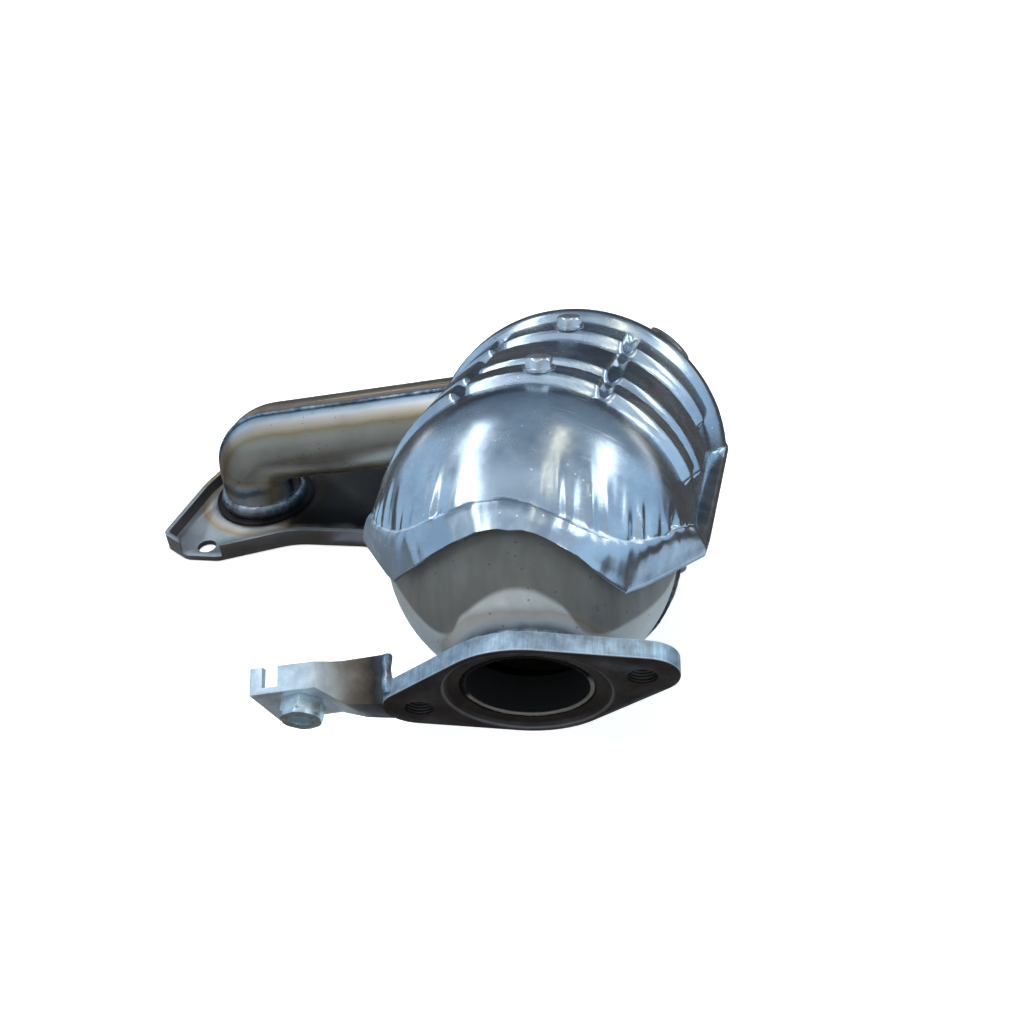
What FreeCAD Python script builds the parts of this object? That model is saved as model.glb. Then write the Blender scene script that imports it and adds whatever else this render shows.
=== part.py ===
"""Exhaust manifold with a close-coupled catalytic converter.

Millimetres. Origin: centre of the middle port on the head flange's gasket face.
X runs along the head flange, Y across it, Z up and away from the cylinder head.
The converter is drawn in its own frame (Y along the can, from the outlet bulb's
centre towards the inlet; Z towards the heat shield's bolts) and then placed.
"""
import FreeCAD
import Part
import math
import os

V = FreeCAD.Vector
os.makedirs("parts", exist_ok=True)

# ---------------------------------------------------------------- sizes
port_pitch = 98.0            # cylinder spacing
tube_od = 42.0               # runner outside diameter
tube_wall = 1.5
bend_radius = 24.0           # centreline radius of the tight runner elbows

plate_thick = 3.0            # head flange sheet
plate_rim = 10.0             # height of the upturned rim
rim_wall = 2.5
stud_hole_r = 5.0
collar_height = 2.0          # pressed ring round each port
collar_width = 6.0
port_weld_height = 6.5

can_r = 58.3                 # converter can, outside
can_wall = 1.5
can_start = 1.0
can_end = 122.0
cone_wall = 2.0
collector_skirt = 6.0
collector_depth = 40.6
mat_gap = 4.8                # compressed mat between brick and can
brick_r = can_r - can_wall - mat_gap
brick_gap = 6.0

can_tilt = 18.0              # can axis against the gasket face, degrees
can_lift = 53.2              # under the can, so it clears the head flange
can_reach = 104.5
can_place = V(port_pitch - 7.1, -can_r - can_reach, can_r + can_lift)   # outlet bulb's centre

outlet_neck = 7.3            # bulb surface to outlet flange face
outlet_reach = can_r + outlet_neck
outlet_down = 37.1           # outlet direction below the can's axis, degrees
outlet_side = 7.4            # and to the side
outlet_clock = 18.0          # turn of the two bolt holes about the outlet
outlet_thick = 8.0
outlet_bolt_spacing = 90.0
outlet_hole_r = 5.5
outlet_mid_r = 34.5          # flange outline at its middle
outlet_end_r = 14.0          # flange outline round each hole
outlet_bore_r = 25.5
pipe_r = 25.3
pipe_wall = 2.0
seat_r = 34.9 - 2.6          # gasket seat, outer edge
seat_depth = 2.4

shield_t = 1.2
shield_gap = 6.4             # can to the outside of the shield's dome
dome_r = can_r + shield_gap
valley_r = dome_r - 1.5      # between the raised pads
pad_r = dome_r + 2.8         # tops of the raised pads
riser_run = 3.4
rim_r = dome_r + 5.4         # flared far end
pad_rows = ((12.9, 26.6), (37.3, 66.2), (87.2, 105.5))
pad_columns = ((-74.0, -30.5), (-24.0, 22.0), (28.0, 72.0))
pad_ends = (67.0, 72.0, 66.0)         # lower end of each row on the right
shield_bolt_y = (17.9, 92.2)
bolt_x = 1.2
bolt_af = 10.0               # M6 hexagon
bolt_r = 3.0

nut_af = 16.0                # M10 weld nut on the stay bracket
nut_height = 8.0
nut_bore_r = 4.25
nut_at = (-97.0, 0.0, -10.0)

bung_r = 11.5                # oxygen sensor bung, M18 x 1.5
bung_bore_r = 8.2
bung_height = 4.5
bung_y = 141.0
bung_lean = 40.0

# ---------------------------------------------------------------- frames
to_can = FreeCAD.Placement(can_place, FreeCAD.Rotation(V(1, 0, 0), -can_tilt))


def outlet_frame():
    """Flange frame in the can's frame: X through the bolt holes, Z out of the face."""
    d, s, c = (math.radians(a) for a in (outlet_down, outlet_side, outlet_clock))
    out = V(math.sin(s) * math.cos(d), -math.cos(s) * math.cos(d), -math.sin(d))
    level = V(math.cos(s), math.sin(s), 0)
    up = out.cross(level)
    ex = level * math.cos(c) + up * math.sin(c)
    ey = out.cross(ex)
    return FreeCAD.Placement(out * outlet_reach, FreeCAD.Rotation(ex, ey, out, "ZXY"))


to_outlet = to_can.multiply(outlet_frame())
bung_turn = FreeCAD.Placement(V(0, 0, 0), FreeCAD.Rotation(V(0, 1, 0), bung_lean))


# ---------------------------------------------------------------- helpers
def save(name, shape, place=None):
    shape = shape.copy()
    if place is not None:
        shape.Placement = place.multiply(shape.Placement)
    solids = shape.Solids
    shape = solids[0] if len(solids) == 1 else Part.makeCompound(solids)
    shape.exportStep("parts/%s.step" % name)
    print(name, "solids", len(solids), "faces", len(shape.Faces), "valid", shape.isValid(), "vol", round(shape.Volume))
    return shape


def cyl(r, h, pos=V(0, 0, 0), d=V(0, 0, 1)):
    return Part.makeCylinder(r, h, pos, d)


def largest(shape):
    return max(shape.Solids, key=lambda s: s.Volume)


def ring(r1, r0, h, pos=V(0, 0, 0), d=V(0, 0, 1)):
    return cyl(r1, h, pos, d).cut(cyl(r0, h, pos, d))


def prism(points, h, z=0.0):
    pts = [V(x, y, z) for x, y in points]
    return Part.Face(Part.makePolygon(pts + pts[:1])).extrude(V(0, 0, h))


def rounded_wire(corners, z=0.0):
    """Closed outline from (x, y, radius) corners, each rounded by a tangent arc."""
    n = len(corners)
    edges = []
    ends = []
    for i in range(n):
        p0, p1, p2 = (V(corners[(i + k) % n][0], corners[(i + k) % n][1], z) for k in (-1, 0, 1))
        r = corners[i][2]
        a, b = (p0 - p1).normalize(), (p2 - p1).normalize()
        half = math.acos(max(-1.0, min(1.0, a.dot(b)))) / 2
        t = r / math.tan(half)
        s, e = p1 + a * t, p1 + b * t
        mid = p1 + (a + b).normalize() * (r / math.sin(half) - r)
        ends.append((s, mid, e))
    for i in range(n):
        s, mid, e = ends[i]
        edges.append(Part.Arc(s, mid, e).toShape())
        nxt = ends[(i + 1) % n][0]
        if (nxt - e).Length > 1e-6:
            edges.append(Part.LineSegment(e, nxt).toShape())
    return Part.Wire(edges)


def turned(profile, axis=V(0, 1, 0), angle=360.0):
    """Solid of revolution about Y from (y, r) points, drawn in the YZ plane."""
    pts = [V(0, y, r) for y, r in profile]
    return Part.Face(Part.makePolygon(pts + pts[:1])).revolve(V(0, 0, 0), axis, angle)


def hexagon(af, h, z=0.0, turn=0.0):
    r = af / math.sqrt(3)
    return prism([(r * math.cos(math.radians(60 * k + turn)), r * math.sin(math.radians(60 * k + turn))) for k in range(6)], h, z)


def swept(face, points, radius):
    """Sweep a face along straight runs joined by tangent arcs."""
    body = None
    for i in range(1, len(points)):
        start, end = points[i - 1], points[i]
        d = (end - start).normalize()
        at = start
        if i > 1:
            before = (points[i - 1] - points[i - 2]).normalize()
            half = math.acos(max(-1, min(1, before.dot(d)))) / 2
            at = start + d * (radius * math.tan(half))
        stop = end
        turn = None
        if i + 1 < len(points):
            after = (points[i + 1] - end).normalize()
            half = math.acos(max(-1, min(1, d.dot(after)))) / 2
            stop = end - d * (radius * math.tan(half))
            axis = d.cross(after).normalize()
            turn = (stop + axis.cross(d) * radius, axis, math.degrees(2 * half))
        run = face.extrude(stop - at)
        body = run if body is None else body.fuse(run)
        face = face.copy()
        face.translate(stop - at)
        if turn:
            elbow = face.revolve(*turn)
            body = body.fuse(elbow)
            face = face.copy()
            face.rotate(*turn)
    return body.removeSplitter()


# ---------------------------------------------------------------- head flange
def head_flange():
    half = [(-108, -53.5, 9), (-126, -53.5, 9), (-141, -44, 5), (-133, 2, 40), (-122, 34, 22),
            (-74, 37, 18), (-62, 52, 9), (-36, 52, 9), (-24, 37, 18)]
    far = half + [(-x, y, r) for x, y, r in reversed(half)]
    outline = far + [(70, -36.5, 40), (24, -36.0, 20), (10, -53.5, 9), (-10, -53.5, 9), (-24, -36.0, 20), (-70, -36.5, 40)]
    wire = rounded_wire(outline)
    base = Part.Face(wire)
    plate = base.extrude(V(0, 0, plate_thick))
    inner = base.makeOffset2D(-rim_wall)
    rim = base.extrude(V(0, 0, plate_rim)).cut(inner.extrude(V(0, 0, plate_rim)))
    holes = [(-117, -45), (0, -45), (117, -45), (-49, 43.5), (49, 43.5)]
    for x, y in holes:
        rim = rim.cut(cyl(13.5, plate_rim, V(x, y, plate_thick)))
    body = plate.fuse(rim)
    for k in (-1, 0, 1):
        body = body.fuse(cyl(tube_od / 2 + collar_width, collar_height, V(k * port_pitch, 0, plate_thick)))
    for k in (-1, 0, 1):
        body = body.cut(cyl(tube_od / 2 - tube_wall, 20, V(k * port_pitch, 0, -1)))
        body = body.cut(cyl(tube_od / 2 + 0.1, 20, V(k * port_pitch, 0, plate_thick)))
    for x, y in holes:
        body = body.cut(cyl(stud_hole_r, 20, V(x, y, -1)))
    return body.removeSplitter()


# ---------------------------------------------------------------- collector
def half_dome(y0, straight, depth, radius):
    """Solid dome about the can's axis: a short skirt from y0 and a half-ellipse end."""
    y1 = y0 + straight
    sign = 1 if depth > 0 else -1
    cap = 84.0               # a small flat closes the end
    depth = abs(depth)
    point = lambda a: V(0, y1 + sign * depth * math.sin(math.radians(a)), radius * math.cos(math.radians(a)))
    if radius >= depth:
        oval = Part.Ellipse(V(0, y1, radius), V(0, y1 + depth, 0), V(0, y1, 0))
    else:
        oval = Part.Ellipse(V(0, y1 + depth, 0), V(0, y1, radius), V(0, y1, 0))
    start, end = oval.parameter(point(0)), oval.parameter(point(cap))
    if abs(end - start) > math.pi:
        start, end = (start + 2 * math.pi, end) if start < end else (start, end + 2 * math.pi)
    arc = oval.toShape(min(start, end), max(start, end))
    tip = V(0, point(cap).y, 0)
    edges = [arc, Part.LineSegment(point(cap), tip).toShape(), Part.LineSegment(tip, V(0, y0, 0)).toShape()]
    if straight:
        edges += [Part.LineSegment(V(0, y0, 0), V(0, y0, radius)).toShape(), Part.LineSegment(V(0, y0, radius), point(0)).toShape()]
    else:
        edges += [Part.LineSegment(V(0, y0, 0), point(0)).toShape()]
    wire = Part.Wire(Part.__sortEdges__(edges))
    return Part.Face(wire).revolve(V(0, 0, 0), V(0, 1, 0), 360)


def collector_dome(offset):
    return half_dome(can_end, collector_skirt, collector_depth - offset, can_r - offset)


# ---------------------------------------------------------------- runners
port_1 = V(-port_pitch, 0, plate_thick)
port_2 = V(0, 0, plate_thick)
port_3 = V(port_pitch, 0, plate_thick)
runner_paths = {
    1: [port_1, V(-port_pitch, 0, 39.4), V(can_place.x, -18.0, 84.0)],
    2: [port_2, V(0, 0, 34.0), V(can_place.x, -40.0, 40.0)],
    3: [port_3, V(port_pitch, 0, 31.0), V(can_place.x, -52.0, 62.0)],
}


def half_ring(center, side):
    """Half of the tube's section at a port, on one side of the X axis (side -1 or 1)."""
    r1, r0 = tube_od / 2, tube_od / 2 - tube_wall
    p = lambda x, y: V(center.x + x, center.y + y, center.z)
    wire = Part.Wire([
        Part.Arc(p(-r1, 0), p(0, side * r1), p(r1, 0)).toShape(),
        Part.LineSegment(p(r1, 0), p(r0, 0)).toShape(),
        Part.Arc(p(r0, 0), p(0, side * r0), p(-r0, 0)).toShape(),
        Part.LineSegment(p(-r0, 0), p(-r1, 0)).toShape()])
    return Part.Face(wire)


def full_ring(center):
    disc = lambda r: Part.Face(Part.Wire(Part.makeCircle(r, center)))
    return disc(tube_od / 2).cut(disc(tube_od / 2 - tube_wall))


def path_turned(points, face):
    """Turn a section about its port so its halves split in the path's own plane."""
    if len(points) < 3:
        return face
    d = points[2] - points[1]
    face = face.copy()
    face.rotate(points[0], V(0, 0, 1), math.degrees(math.atan2(d.y, d.x)))
    return face


def build_manifold():
    dome_out = collector_dome(0.0)
    dome_out.Placement = to_can
    dome_in = collector_dome(cone_wall)
    dome_in.Placement = to_can
    shell = dome_out.cut(dome_in)
    bung_hole = cyl(bung_bore_r, can_r, V(0, bung_y, 10))
    bung_hole.Placement = to_can.multiply(bung_turn)
    shell = shell.cut(bung_hole)
    bores = {}
    for k, pts in runner_paths.items():
        disc = Part.Face(Part.Wire(Part.makeCircle(tube_od / 2 - tube_wall, pts[0])))
        bores[k] = swept(disc, pts, bend_radius)
        shell = shell.cut(bores[k])
    save("collector", shell)

    solids = {k: swept(Part.Face(Part.Wire(Part.makeCircle(tube_od / 2, pts[0]))), pts, bend_radius) for k, pts in runner_paths.items()}
    for side, label in ((-1, "front"), (1, "rear")):
        half = swept(path_turned(runner_paths[1], half_ring(port_1, side)), runner_paths[1], bend_radius)
        save("runner_1_%s" % label, half.cut(dome_out))
    two = swept(path_turned(runner_paths[2], full_ring(port_2)), runner_paths[2], bend_radius)
    save("runner_2", largest(two.cut(dome_out).cut(solids[1]).cut(solids[3])))
    three = swept(path_turned(runner_paths[3], full_ring(port_3)), runner_paths[3], bend_radius)
    save("runner_3", largest(three.cut(dome_out).cut(solids[1])))
    for k in (1, 2, 3):
        c = V((k - 2) * port_pitch, 0, plate_thick + collar_height)
        foot = tube_od / 2 + 0.05
        bead = Part.Face(Part.makePolygon([V(foot, 0, 0), V(foot + 4.2, 0, 0), V(foot + 3.6, 0, 2.2), V(foot + 1.6, 0, 5.2), V(foot, 0, port_weld_height), V(foot, 0, 0)]))
        bead = bead.revolve(V(0, 0, 0), V(0, 0, 1), 360)
        bead.translate(c)
        save("port_weld_%d" % k, bead)
    return dome_out


# ---------------------------------------------------------------- converter
def build_converter():
    save("converter_can", ring(can_r, can_r - can_wall, can_end - can_start, V(0, can_start, 0), V(0, 1, 0)), to_can)
    inner = can_r - can_wall
    r0, diag = can_r - cone_wall, math.sqrt(0.5)
    edges = [Part.Arc(V(0, 0, can_r), V(0, -can_r * diag, can_r * diag), V(0, -can_r, 0)).toShape(),
             Part.LineSegment(V(0, -can_r, 0), V(0, -r0, 0)).toShape(),
             Part.Arc(V(0, -r0, 0), V(0, -r0 * diag, r0 * diag), V(0, 0, r0)).toShape(),
             Part.LineSegment(V(0, 0, r0), V(0, can_start, r0)).toShape(),
             Part.LineSegment(V(0, can_start, r0), V(0, can_start, can_r)).toShape(),
             Part.LineSegment(V(0, can_start, can_r), V(0, 0, can_r)).toShape()]
    bulb = Part.Face(Part.Wire(edges)).revolve(V(0, 0, 0), V(0, 1, 0), 360)
    place = outlet_frame()
    hole = cyl(pipe_r, 40, V(0, 0, -30))
    hole.Placement = place
    save("outlet_cone", bulb.cut(hole), to_can)
    mid = (can_start + can_end) / 2
    b0, b1 = 16.0, can_end - 12.0
    half = (b1 - b0 - brick_gap) / 2
    save("substrate_front", cyl(brick_r, half, V(0, b0, 0), V(0, 1, 0)), to_can)
    save("substrate_rear", cyl(brick_r, half, V(0, b1 - half, 0), V(0, 1, 0)), to_can)
    save("support_mat", ring(inner, brick_r, b1 - b0 - 4, V(0, b0 + 2, 0), V(0, 1, 0)), to_can)
    for name, y in (("mat_ring_front", b0 - 1.0), ("mat_ring_rear", b1 - 2.0)):
        save(name, ring(inner, brick_r + 0.2, 3.0, V(0, y, 0), V(0, 1, 0)), to_can)
    for name, y, reach in (("cone_weld", can_start, 3.4), ("collector_weld", can_end, 3.4)):
        bead = turned(((y - reach / 2, can_r), (y - reach / 4, can_r + 0.7), (y + reach / 4, can_r + 0.7), (y + reach / 2, can_r)))
        save(name, bead, to_can)


# ---------------------------------------------------------------- outlet
def build_outlet():
    s = outlet_bolt_spacing / 2
    angle = math.acos((outlet_mid_r - outlet_end_r) / s)
    c, n = math.cos(angle), math.sin(angle)
    pts = []
    for sx, sy in ((1, 1), (-1, 1), (-1, -1), (1, -1)):
        mid = V(sx * outlet_mid_r * c, sy * outlet_mid_r * n, 0)
        end = V(sx * (s + outlet_end_r * c), sy * outlet_end_r * n, 0)
        pts.append((mid, end))
    right, top, left, bottom = V(s + outlet_end_r, 0, 0), V(0, outlet_mid_r, 0), V(-s - outlet_end_r, 0, 0), V(0, -outlet_mid_r, 0)
    line = lambda a, b: Part.LineSegment(a, b).toShape()
    arc = lambda a, b, d: Part.Arc(a, b, d).toShape()
    wire = Part.Wire([arc(pts[3][1], right, pts[0][1]), line(pts[0][1], pts[0][0]), arc(pts[0][0], top, pts[1][0]), line(pts[1][0], pts[1][1]),
                      arc(pts[1][1], left, pts[2][1]), line(pts[2][1], pts[2][0]), arc(pts[2][0], bottom, pts[3][0]), line(pts[3][0], pts[3][1])])
    flange = Part.Face(wire).extrude(V(0, 0, -outlet_thick))
    flange = flange.cut(cyl(outlet_bore_r, 20, V(0, 0, -10)))
    flange = flange.cut(Part.makeCone(seat_r - seat_depth * 0.7, seat_r, seat_depth, V(0, 0, -seat_depth)))
    for x in (-s, s):
        flange = flange.cut(cyl(outlet_hole_r, 20, V(x, 0, -10)))
    edges = [e for e in flange.Edges if all(abs(v.Z) < 1e-6 or abs(v.Z + outlet_thick) < 1e-6 for v in e.Vertexes)
             and (abs(e.BoundBox.ZMax - e.BoundBox.ZMin) < 1e-6) and (e.BoundBox.XLength > 1 and max(abs(e.BoundBox.XMax), abs(e.BoundBox.XMin)) > 8)
             and max(math.hypot(v.X, v.Y) for v in e.Vertexes) > outlet_mid_r - 0.1]
    save("outlet_flange", flange, to_outlet)
    depth = outlet_reach - 47.0
    save("outlet_pipe", ring(pipe_r - 0.1, pipe_r - pipe_wall, depth - 3.2, V(0, 0, -depth)), to_outlet)
    back = -outlet_thick
    bead = Part.Face(Part.makePolygon([V(pipe_r, 0, back), V(pipe_r + 4.5, 0, back), V(pipe_r + 3.6, 0, back - 2.2), V(pipe_r + 1.0, 0, back - 3.6), V(pipe_r, 0, back - 4.0), V(pipe_r, 0, back)]))
    bead = bead.revolve(V(0, 0, 0), V(0, 0, 1), 360)
    ball = Part.makeSphere(can_r)
    ball.Placement = outlet_frame().inverse()
    save("outlet_weld", bead.cut(ball), to_outlet)
    inner_bead = Part.Face(Part.makePolygon([V(pipe_r - pipe_wall + 0.2, 0, -3.2), V(outlet_bore_r, 0, -3.2), V(outlet_bore_r, 0, -1.6), V(pipe_r - pipe_wall + 0.2, 0, -3.2)]))
    save("bore_weld", inner_bead.revolve(V(0, 0, 0), V(0, 0, 1), 360), to_outlet)


# ---------------------------------------------------------------- heat shield
def shield_pad(rows, column, offset):
    height = pad_r - valley_r
    slant = math.hypot(riser_run, height)
    shift = offset * (slant - riser_run) / height
    top, low = pad_r - offset, valley_r - offset
    a1, a2 = column
    y1, y2 = rows
    profile = [(y1 - riser_run + shift, low - 1.5), (y1 - riser_run + shift, low), (y1 + shift, top), (y2 - shift, top), (y2 + riser_run - shift, low), (y2 + riser_run - shift, low - 1.5)]
    body = turned(profile)
    lean = math.degrees(2.4 / valley_r)
    turn = math.degrees(shift / valley_r)
    point = lambda r, a: V(r * math.sin(math.radians(a)), 0, r * math.cos(math.radians(a)))
    steps = 6
    outer = [point(top + 3, a1 + turn + lean + (a2 - a1 - 2 * turn - 2 * lean) * k / steps) for k in range(steps + 1)]
    wedge = [point(low - 3, a2 - turn + lean * 0.4)] + [V(0, 0, 0)] + [point(low - 3, a1 + turn - lean * 0.4)]
    pts = outer + wedge
    side = Part.Face(Part.makePolygon(pts + pts[:1])).extrude(V(0, 200, 0))
    side.translate(V(0, -20, 0))
    return body.common(side)


def shield_mass(offset):
    drop = 1.6
    barrel = [(0, 0.001), (0, dome_r - offset), (7.0, dome_r - offset), (7.0 + drop, valley_r - offset),
              (106.0 + 0.48 * offset, valley_r - offset), (113.3 + 0.48 * offset, rim_r - offset), (121.0, rim_r - offset),
              (127.4, rim_r - 3.6 - offset), (127.4, 0.001)]
    body = turned(barrel)
    ball = Part.makeSphere(dome_r - offset).common(Part.makeBox(200, 100, 200, V(-100, -100, -100)))
    body = body.fuse(ball)
    for column in pad_columns:
        for rows, end in zip(pad_rows, pad_ends):
            body = body.fuse(shield_pad(rows, (column[0], min(column[1], end)), offset))
    return body


# crease and free edge of the skirt round the front, right side; mirrored for the left;
# drawn for a dome of skirt_for and scaled to the real one
skirt_for = 64.7
skirt_points = (
    # crease point        free edge point          rim drop
    ((0.0, -52.5, 37.8), (0.0, -62.2, 30.3), 0.5),
    ((10.5, -52.5, 36.3), (8.5, -61.9, 28.9), 0.5),
    ((20.0, -52.4, 32.1), (17.5, -61.0, 24.6), 0.6),
    ((28.5, -51.2, 27.6), (26.0, -58.6, 18.8), 0.8),
    ((35.5, -48.7, 23.5), (33.5, -55.2, 12.2), 1.2),
    ((42.5, -44.5, 20.0), (43.3, -49.0, 4.6), 3.0),
    ((48.0, -39.2, 18.5), (49.5, -38.6, 4.3), 4.0),
    ((55.5, -29.2, 16.8), (58.0, -24.0, 4.1), 4.0),
    ((62.0, -11.5, 14.2), (69.0, -5.0, 4.1), 4.0),
    ((64.2, 3.0, 7.2), (69.6, 8.0, 4.1), 4.0),
    ((64.3, 20.0, 6.6), (69.8, 20.0, 4.1), 4.0),
    ((64.3, 124.0, 6.6), (70.2, 124.0, 4.1), 4.0),
)
grow = dome_r / skirt_for
scaled = lambda p: (p[0] * grow, p[1] * (grow if p[1] < 0 else 1), p[2] * grow)
skirt = [(scaled(c), scaled(e), d) for c, e, d in skirt_points]


def skirt_section(crease, edge, drop, t):
    c, e = V(*crease), V(*edge)
    out = (e - c)
    out.normalize()
    sideways = V(c.x, c.y * (1 if c.y < 0 else 0), 0)
    radial = V(c.x, min(c.y, 0), c.z)
    radial.normalize()
    normal = radial - out * radial.dot(out)
    normal.normalize()
    root = c - out * 0.8
    down = V(0, 0, -1)
    hinge = V(e.x, min(e.y, 0), 0)
    hinge.normalize()
    return [root, e, e + down * drop, e + down * drop - hinge * t, e - normal * t - down * 0.0, root - normal * t]


def build_shield():
    t = shield_t
    shell = shield_mass(0.0).cut(shield_mass(t))
    # below the crease
    side = [(c[0], c[2]) for c, e, d in skirt[:9]]
    wide = dome_r + 20
    profile = [(-wide, -wide), (wide, -wide), (wide, side[-1][1] - 0.8)] + side[::-1] + [(-x, z) for x, z in side[1:]] + [(-wide, side[-1][1] - 0.8)]
    pts = [V(x, -wide - 20, z) for x, z in profile]
    front = Part.Face(Part.makePolygon(pts + pts[:1])).extrude(V(0, wide + 20 - 4.0, 0))
    shell = shell.cut(front)
    shell = shell.cut(Part.makeBox(240, 300, 200, V(-120, -120, -200 + skirt[-1][0][2] - 0.6)))
    # the far end stays open
    shell = shell.cut(Part.makeCylinder(rim_r - 5.5, 20, V(0, 126.0, 0), V(0, 1, 0)))
    left = [skirt_section((-c[0], c[1], c[2]), (-e[0], e[1], e[2]), d, t) for c, e, d in reversed(skirt[1:])]
    right = [skirt_section(c, e, d, t) for c, e, d in skirt]
    wires = [Part.makePolygon(s + s[:1]) for s in left + right]
    band = Part.makeLoft(wires, True, True)
    print("band", band.isValid(), round(band.Volume))
    shell = shell.fuse(band)
    for y in shield_bolt_y:
        shell = shell.cut(cyl(bolt_r + 0.3, 20, V(bolt_x, y, can_r - 3)))
    save("heat_shield", shell.removeSplitter(), to_can)

    can = Part.makeCylinder(can_r, 200, V(0, -20, 0), V(0, 1, 0))
    under = pad_r - t - 0.35
    for name, y in zip(("near", "far"), shield_bolt_y):
        y0 = y - 4.2
        top = Part.makeBox(20, 10.2, 1.5, V(bolt_x - 10, y0, under - 1.5))
        legs = [Part.makeBox(1.5, 10.2, 12, V(x, y0, under - 12)) for x in (bolt_x - 10, bolt_x + 8.5)]
        feet = [Part.makeBox(7, 10.2, 1.5 + 1.2, V(x, y0, can_r - 2.7)) for x in (bolt_x - 15.5, bolt_x + 8.5)]
        hat = top.fuse(legs).fuse(feet).cut(can).cut(cyl(bolt_r + 0.2, 20, V(bolt_x, y, can_r - 3)))
        hat = largest(hat.common(Part.makeCylinder(pad_r - t - 0.3, 200, V(0, -20, 0), V(0, 1, 0))))
        save("shield_bracket_%s" % name, hat.removeSplitter(), to_can)
        nut_foot = can_r + 1.7
        nut = hexagon(bolt_af, under - 1.5 - nut_foot, 0).cut(cyl(bolt_r, 20, V(0, 0, -1)))
        nut.translate(V(bolt_x, y, nut_foot))
        save("shield_nut_%s" % name, nut, to_can)
        head = hexagon(bolt_af, 4.0, 1.2, 30).fuse(cyl(6.6, 1.2)).fuse(cyl(bolt_r - 0.05, pad_r - can_r - 1.1, V(0, 0, can_r + 1.1 - pad_r)))
        chamfer = Part.makeCone(12.0, 4.6, 7.4, V(0, 0, -2.2))
        head = head.common(chamfer.fuse(cyl(7, 20, V(0, 0, -19.0))))
        head.translate(V(bolt_x, y, pad_r))
        save("shield_bolt_%s" % name, head.removeSplitter(), to_can)


# ---------------------------------------------------------------- stay bracket
def channel_section(x, pts, t):
    """U section at x from four outer (y, z) points: front top, front foot, rear foot, rear top."""
    p = [V(x, y, z) for y, z in pts]
    d01, d12, d23 = (p[1] - p[0]).normalize(), (p[2] - p[1]).normalize(), (p[3] - p[2]).normalize()
    n = lambda d: V(0, d.z, -d.y)
    n01, n12, n23 = n(d01), n(d12), n(d23)
    if n12.z > 0:
        n01, n12, n23 = n01 * -1, n12 * -1, n23 * -1

    def corner(q, a, b):
        m = (a + b)
        return q + m * (t / (1 + a.dot(b)))
    inner = [p[0] + n01 * t, corner(p[1], n01, n12), corner(p[2], n12, n23), p[3] + n23 * t]
    loop = p + inner[::-1]
    return Part.makePolygon(loop + loop[:1])


def build_stay():
    t = 3.0
    sections = [
        channel_section(-115.0, ((14, -21), (12, -10), (-13, -10), (-13, -20)), t),
        channel_section(-86.0, ((14, -20), (11, -10), (-13, -10), (-13, -20)), t),
        channel_section(-74.0, ((14, -18), (5, -3.5), (-13, -6), (-13, -18)), t),
        channel_section(-53.0, ((14, -18), (4, -1.5), (-13, -2.5), (-13, -16)), t),
    ]
    channel = Part.makeLoft(sections, True, True)
    channel = channel.cut(Part.makeBox(7.0, 12, 12, V(-109.5, 6.0, -24.5)))
    channel = channel.cut(cyl(outlet_end_r + 0.05, 60, V(-outlet_bolt_spacing / 2, 0, -40)))
    channel = channel.cut(cyl(nut_bore_r + 1.2, 30, V(nut_at[0], nut_at[1], -30)))
    channel = largest(channel)
    save("stay_bracket", channel, to_outlet)
    nut = hexagon(nut_af, nut_height, 0, 12).cut(cyl(nut_bore_r, 20, V(0, 0, -1)))
    nut = nut.common(Part.makeCone(9.6, 8.3, nut_height, V(0, 0, 0)).fuse(cyl(9.3, nut_height - 2.0)))
    nut.translate(V(*nut_at))
    save("stay_nut", nut, to_outlet)


# ---------------------------------------------------------------- sensor bung
def build_bung():
    body = ring(bung_r, bung_bore_r, bung_height + 12, V(0, bung_y, can_r - 10.3))
    body = body.cut(collector_dome(0.0))
    body = sorted(body.Solids, key=lambda s: -s.BoundBox.ZMax)[0]
    save("sensor_bung", body, to_can.multiply(bung_turn))


save("head_flange", head_flange())
build_manifold()
build_converter()
build_outlet()
build_shield()
build_stay()
build_bung()
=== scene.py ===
import math

import bmesh
import bpy
from mathutils import Matrix, Vector, noise


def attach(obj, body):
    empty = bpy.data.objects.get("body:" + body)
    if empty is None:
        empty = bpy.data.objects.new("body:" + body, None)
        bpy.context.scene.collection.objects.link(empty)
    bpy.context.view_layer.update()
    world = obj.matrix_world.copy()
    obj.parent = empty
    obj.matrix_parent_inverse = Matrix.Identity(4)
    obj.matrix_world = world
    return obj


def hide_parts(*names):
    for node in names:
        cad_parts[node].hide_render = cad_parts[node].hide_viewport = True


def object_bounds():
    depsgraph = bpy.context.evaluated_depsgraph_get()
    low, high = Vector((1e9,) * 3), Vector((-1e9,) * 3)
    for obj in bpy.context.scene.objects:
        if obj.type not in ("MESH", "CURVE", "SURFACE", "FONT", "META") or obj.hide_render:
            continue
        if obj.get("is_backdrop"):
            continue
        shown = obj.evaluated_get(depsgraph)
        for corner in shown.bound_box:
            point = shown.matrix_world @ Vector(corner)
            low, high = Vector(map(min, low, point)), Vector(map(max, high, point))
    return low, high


bl_info = {
    "name": "Catalytic converter builder",
    "version": (1, 0, 0),
    "blender": (4, 5, 0),
    "location": "View3D > Sidebar > Converter",
    "description": "Builds the finished look of a three-port catalytic converter with its heat shield",
    "category": "Object",
}

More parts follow.
